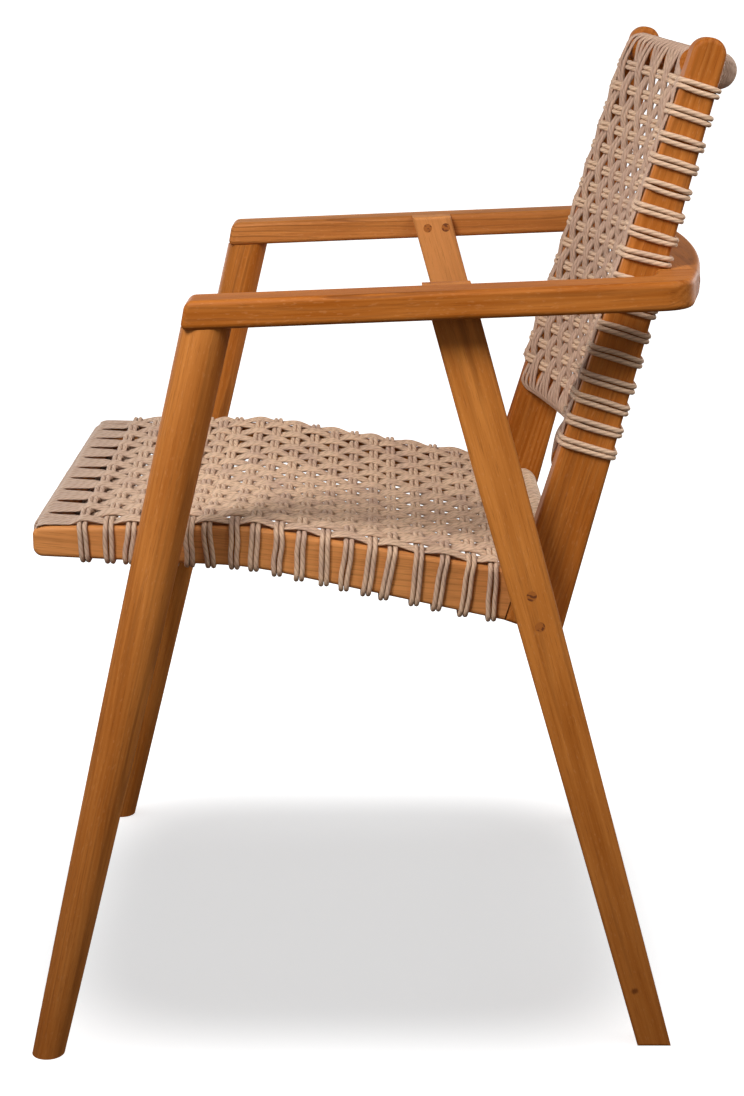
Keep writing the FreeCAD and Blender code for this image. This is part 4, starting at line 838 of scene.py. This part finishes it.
def wrap_post(depth, limit, front):
    """Across, back and how thin: from behind a post round its outer face to its inner front edge."""
    line = []
    if limit is None:
        line.append((FRAME_OUTER - UNDER_REACH, depth + CORD_LIFT))
        line += arc((FRAME_OUTER - FRAME_EDGE, depth - FRAME_EDGE), EDGE_TURN, *POST_REAR_ARC)
    else:
        line.append((FRAME_OUTER + CORD_LIFT, limit))
    line += [(FRAME_OUTER + CORD_LIFT, depth * share) for share in POST_SHARES]
    line = [(across, back, STRAP_THIN) for across, back in line]
    corner = round_corner(BACK_EDGE, front, POST_LIFT, POST_WEFT_DIP, POST_WEFT_THIN)
    line += [(across, -out, thin) for across, out, thin in corner]
    across, back = at_angle((FRAME_INNER + FRAME_EDGE, FRAME_EDGE), EDGE_TURN, POST_INNER_ANGLE)
    return line + [(across, back, STRAP_THIN)]


rng = random.Random(31)
back_weft_runs = []
for row, rise in enumerate(BACK_ROWS):
    depth = post_depth(rise)
    height = on_back(0.0, rise, depth).z
    limit = None
    climb = 0.0
    if ARM_RAIL_LOW - STRAP_HALF < height < ARM_RAIL_HIGH - SLIP_REACH:
        limit = depth - STOP_SHORT
    elif ARM_RAIL_LOW < height < ARM_RAIL_HIGH + STRAP_HALF:
        climb = ARM_RAIL_HIGH + STRAP_HALF + SLIP_CLEARANCE - height
    fronts = [(row + column) % 2 == 1 for column in range(len(BACK_WARPS))]
    field = [
        (x, back_level(x, rise) + (-WEFT_DIP if front else WEFT_DIP))
        for x, front in zip(BACK_WARPS, fronts) if abs(x) < FRAME_INNER
    ]
    opening = rng.uniform(*BACK_OPENING)
    for hand in (-1, 1):
        run = []
        bulge = rng.uniform(-BACK_BULGE, BACK_BULGE)
        for end, front in ((-1, fronts[0]), (1, fronts[-1])):
            slip = rng.uniform(-BACK_SLIP, BACK_SLIP) + climb
            edge = []
            for across, back, thin in wrap_post(depth, limit, front):
                way = min(1.0, max(0.0, back / depth))
                swell = math.sin(math.pi * way)
                level = rise + hand * half_gap(opening, swell) + bulge * swell + slip * way
                edge.append((on_back(end * across, level, back), thin, STRAP_WIDE))
            if end < 0:
                run += edge
                level = rise + hand * PAIR_CLOSE
                run += [(on_back(x, level, setback), 1.0, 1.0) for x, setback in field]
            else:
                run += edge[::-1]
        back_weft_runs.append(run)
BACK_WEFT_WAVER, BACK_WEFT_SEED = 0.0004, 4.0
# The back's wefts are given a paler tone, partly a painted highlight
post_cord = paper_cord("paper_cord_back_weft", rosy_and_painted_light=-0.14)
lay_cords("back_wefts", back_weft_runs, BACK_WEFT_WAVER, BACK_WEFT_SEED, post_cord, "back_weft_cords")

# Floor: a wide sheet of white studio paper that glows, as if lit from below on a light table.
# Its glow is dimmer in a square with round corners under the chair: a painted shadow.
WHITE = (1.0, 1.0, 1.0, 1.0)
PAPER_DARK, PAPER_LIGHT = (0.78, 0.78, 0.78, 1.0), (0.82, 0.82, 0.82, 1.0)
PAINTED_SHADOW_GLOW = (0.50, 0.50, 0.50, 1.0)
SHADE_MIDDLE, SHADE_HALF = -0.03, 0.25
SHADE_INNER, SHADE_OUTER = 0.84, 1.46
FLOOR_HALF = 400.0
floor_finish, floor_nodes, floor_shader = new_finish("studio_paper")
floor_place = floor_nodes.place()
paper = floor_nodes.noise(floor_place, 3.0, 2.0)
floor_nodes.feed(floor_shader.inputs["Base Color"], floor_nodes.blend(paper, PAPER_DARK, PAPER_LIGHT))
floor_shader.inputs["Roughness"].default_value = 0.9
floor_shader.inputs["Specular IOR Level"].default_value = 0.0
shade_x = (floor_nodes.axis(floor_place, "X") - SHADE_MIDDLE) / SHADE_HALF
shade_y = (floor_nodes.axis(floor_place, "Y") - SHADE_MIDDLE) / SHADE_HALF
fourths = shade_x * shade_x * shade_x * shade_x + shade_y * shade_y * shade_y * shade_y
away = floor_nodes.add("ShaderNodeMath", {"operation": "POWER"}, {0: fourths, 1: 0.25})
# The glow is dimmer in the rounded square under the chair: a painted shadow
glow_with_painted_shadow = floor_nodes.blend(floor_nodes.between(away, SHADE_INNER, SHADE_OUTER), PAINTED_SHADOW_GLOW, WHITE)
floor_nodes.feed(floor_shader.inputs["Emission Color"], glow_with_painted_shadow)
floor_shader.inputs["Emission Strength"].default_value = 1.0
floor_mesh = bpy.data.meshes.new("floor")
floor_corners = [
    (FLOOR_HALF * across, FLOOR_HALF * back, 0) for across, back in ((-1, -1), (1, -1), (1, 1), (-1, 1))
]
floor_mesh.from_pydata(floor_corners, [], [(0, 1, 2, 3)])
floor_mesh.materials.append(floor_finish)
floor = bpy.data.objects.new("floor", floor_mesh)
floor.visible_diffuse = False
floor.visible_glossy = False
bpy.context.scene.collection.objects.link(floor)

# Studio light: a bright band of wall round a dimmer ceiling, a soft light above the near front
# corner of the chair, a weaker one above its rear corner, two low ones on its far side, and a
# wide one overhead for the floor. The room itself looks white.
BELOW_LIGHT, WALL_LIGHT = (0.09, 0.07, 0.05, 1.0), (0.48, 0.48, 0.48, 1.0)
CEILING_LIGHT = (0.26, 0.265, 0.27, 1.0)
CHAIR_MIDDLE, FLOOR_MIDDLE = (0.0, 0.0, 0.45), (0.0, 0.0, 0.0)
world = bpy.data.worlds.new("studio")
world.use_nodes = True
room = Nodes(world.node_tree)
room_height = room.axis(room.add("ShaderNodeTexCoord", output="Generated"), "Z")
walls = room.blend(room.between(room_height, -0.14, -0.02), BELOW_LIGHT, WALL_LIGHT)
walls = room.blend(room.between(room_height, 0.08, 0.40), walls, CEILING_LIGHT)
background = world.node_tree.nodes["Background"]
seen = room.add("ShaderNodeLightPath", output="Is Camera Ray")
room.feed(background.inputs["Color"], room.blend(seen, walls, WHITE))
background.inputs["Strength"].default_value = 1.0
bpy.context.scene.world = world


def soft_light(name, place, goal, size, power, floor_link):
    """A round soft light that leaves out the floor, or lights nothing else."""
    lamp = bpy.data.lights.new(name, "AREA")
    lamp.shape = "DISK"
    lamp.size = size
    lamp.energy = power
    holder = bpy.data.objects.new(name, lamp)
    holder.location = place
    holder.rotation_euler = (Vector(goal) - Vector(place)).to_track_quat("-Z", "Y").to_euler()
    bpy.context.scene.collection.objects.link(holder)
    reach = bpy.data.collections.new(f"{name}_reach")
    reach.objects.link(floor)
    reach.collection_objects[0].light_linking.link_state = floor_link
    holder.light_linking.receiver_collection = reach


soft_light("key_light", (1.25, -0.70, 1.75), CHAIR_MIDDLE, 0.62, 29.0, "EXCLUDE")
soft_light("fill_light", (0.95, 1.15, 1.85), CHAIR_MIDDLE, 0.9, 12.0, "EXCLUDE")
soft_light("far_front_light", (-1.6, -1.1, 0.85), CHAIR_MIDDLE, 1.0, 12.0, "EXCLUDE")
soft_light("far_rear_light", (-1.3, 1.5, 0.85), CHAIR_MIDDLE, 1.0, 15.0, "EXCLUDE")
soft_light("floor_light", (0.0, 0.0, 2.6), FLOOR_MIDDLE, 1.3, 16.0, "INCLUDE")
bpy.context.scene.view_settings.view_transform = "Standard"

# Camera: beside the chair, a little higher than the top of its back, looking down on it, as in
# the photograph. Nothing is out of focus.
CAMERA_PLACE = (1.819, -0.0053, 0.877)
CAMERA_DOWN, CAMERA_TURN = 15.49, 90.177
lens = bpy.data.cameras.new("camera")
lens.sensor_width = 36.0
lens.lens = 67.1
camera = bpy.data.objects.new("camera", lens)
camera.location = CAMERA_PLACE
camera.rotation_euler = (math.radians(90 - CAMERA_DOWN), 0.0, math.radians(CAMERA_TURN))
bpy.context.scene.collection.objects.link(camera)
bpy.context.scene.camera = camera
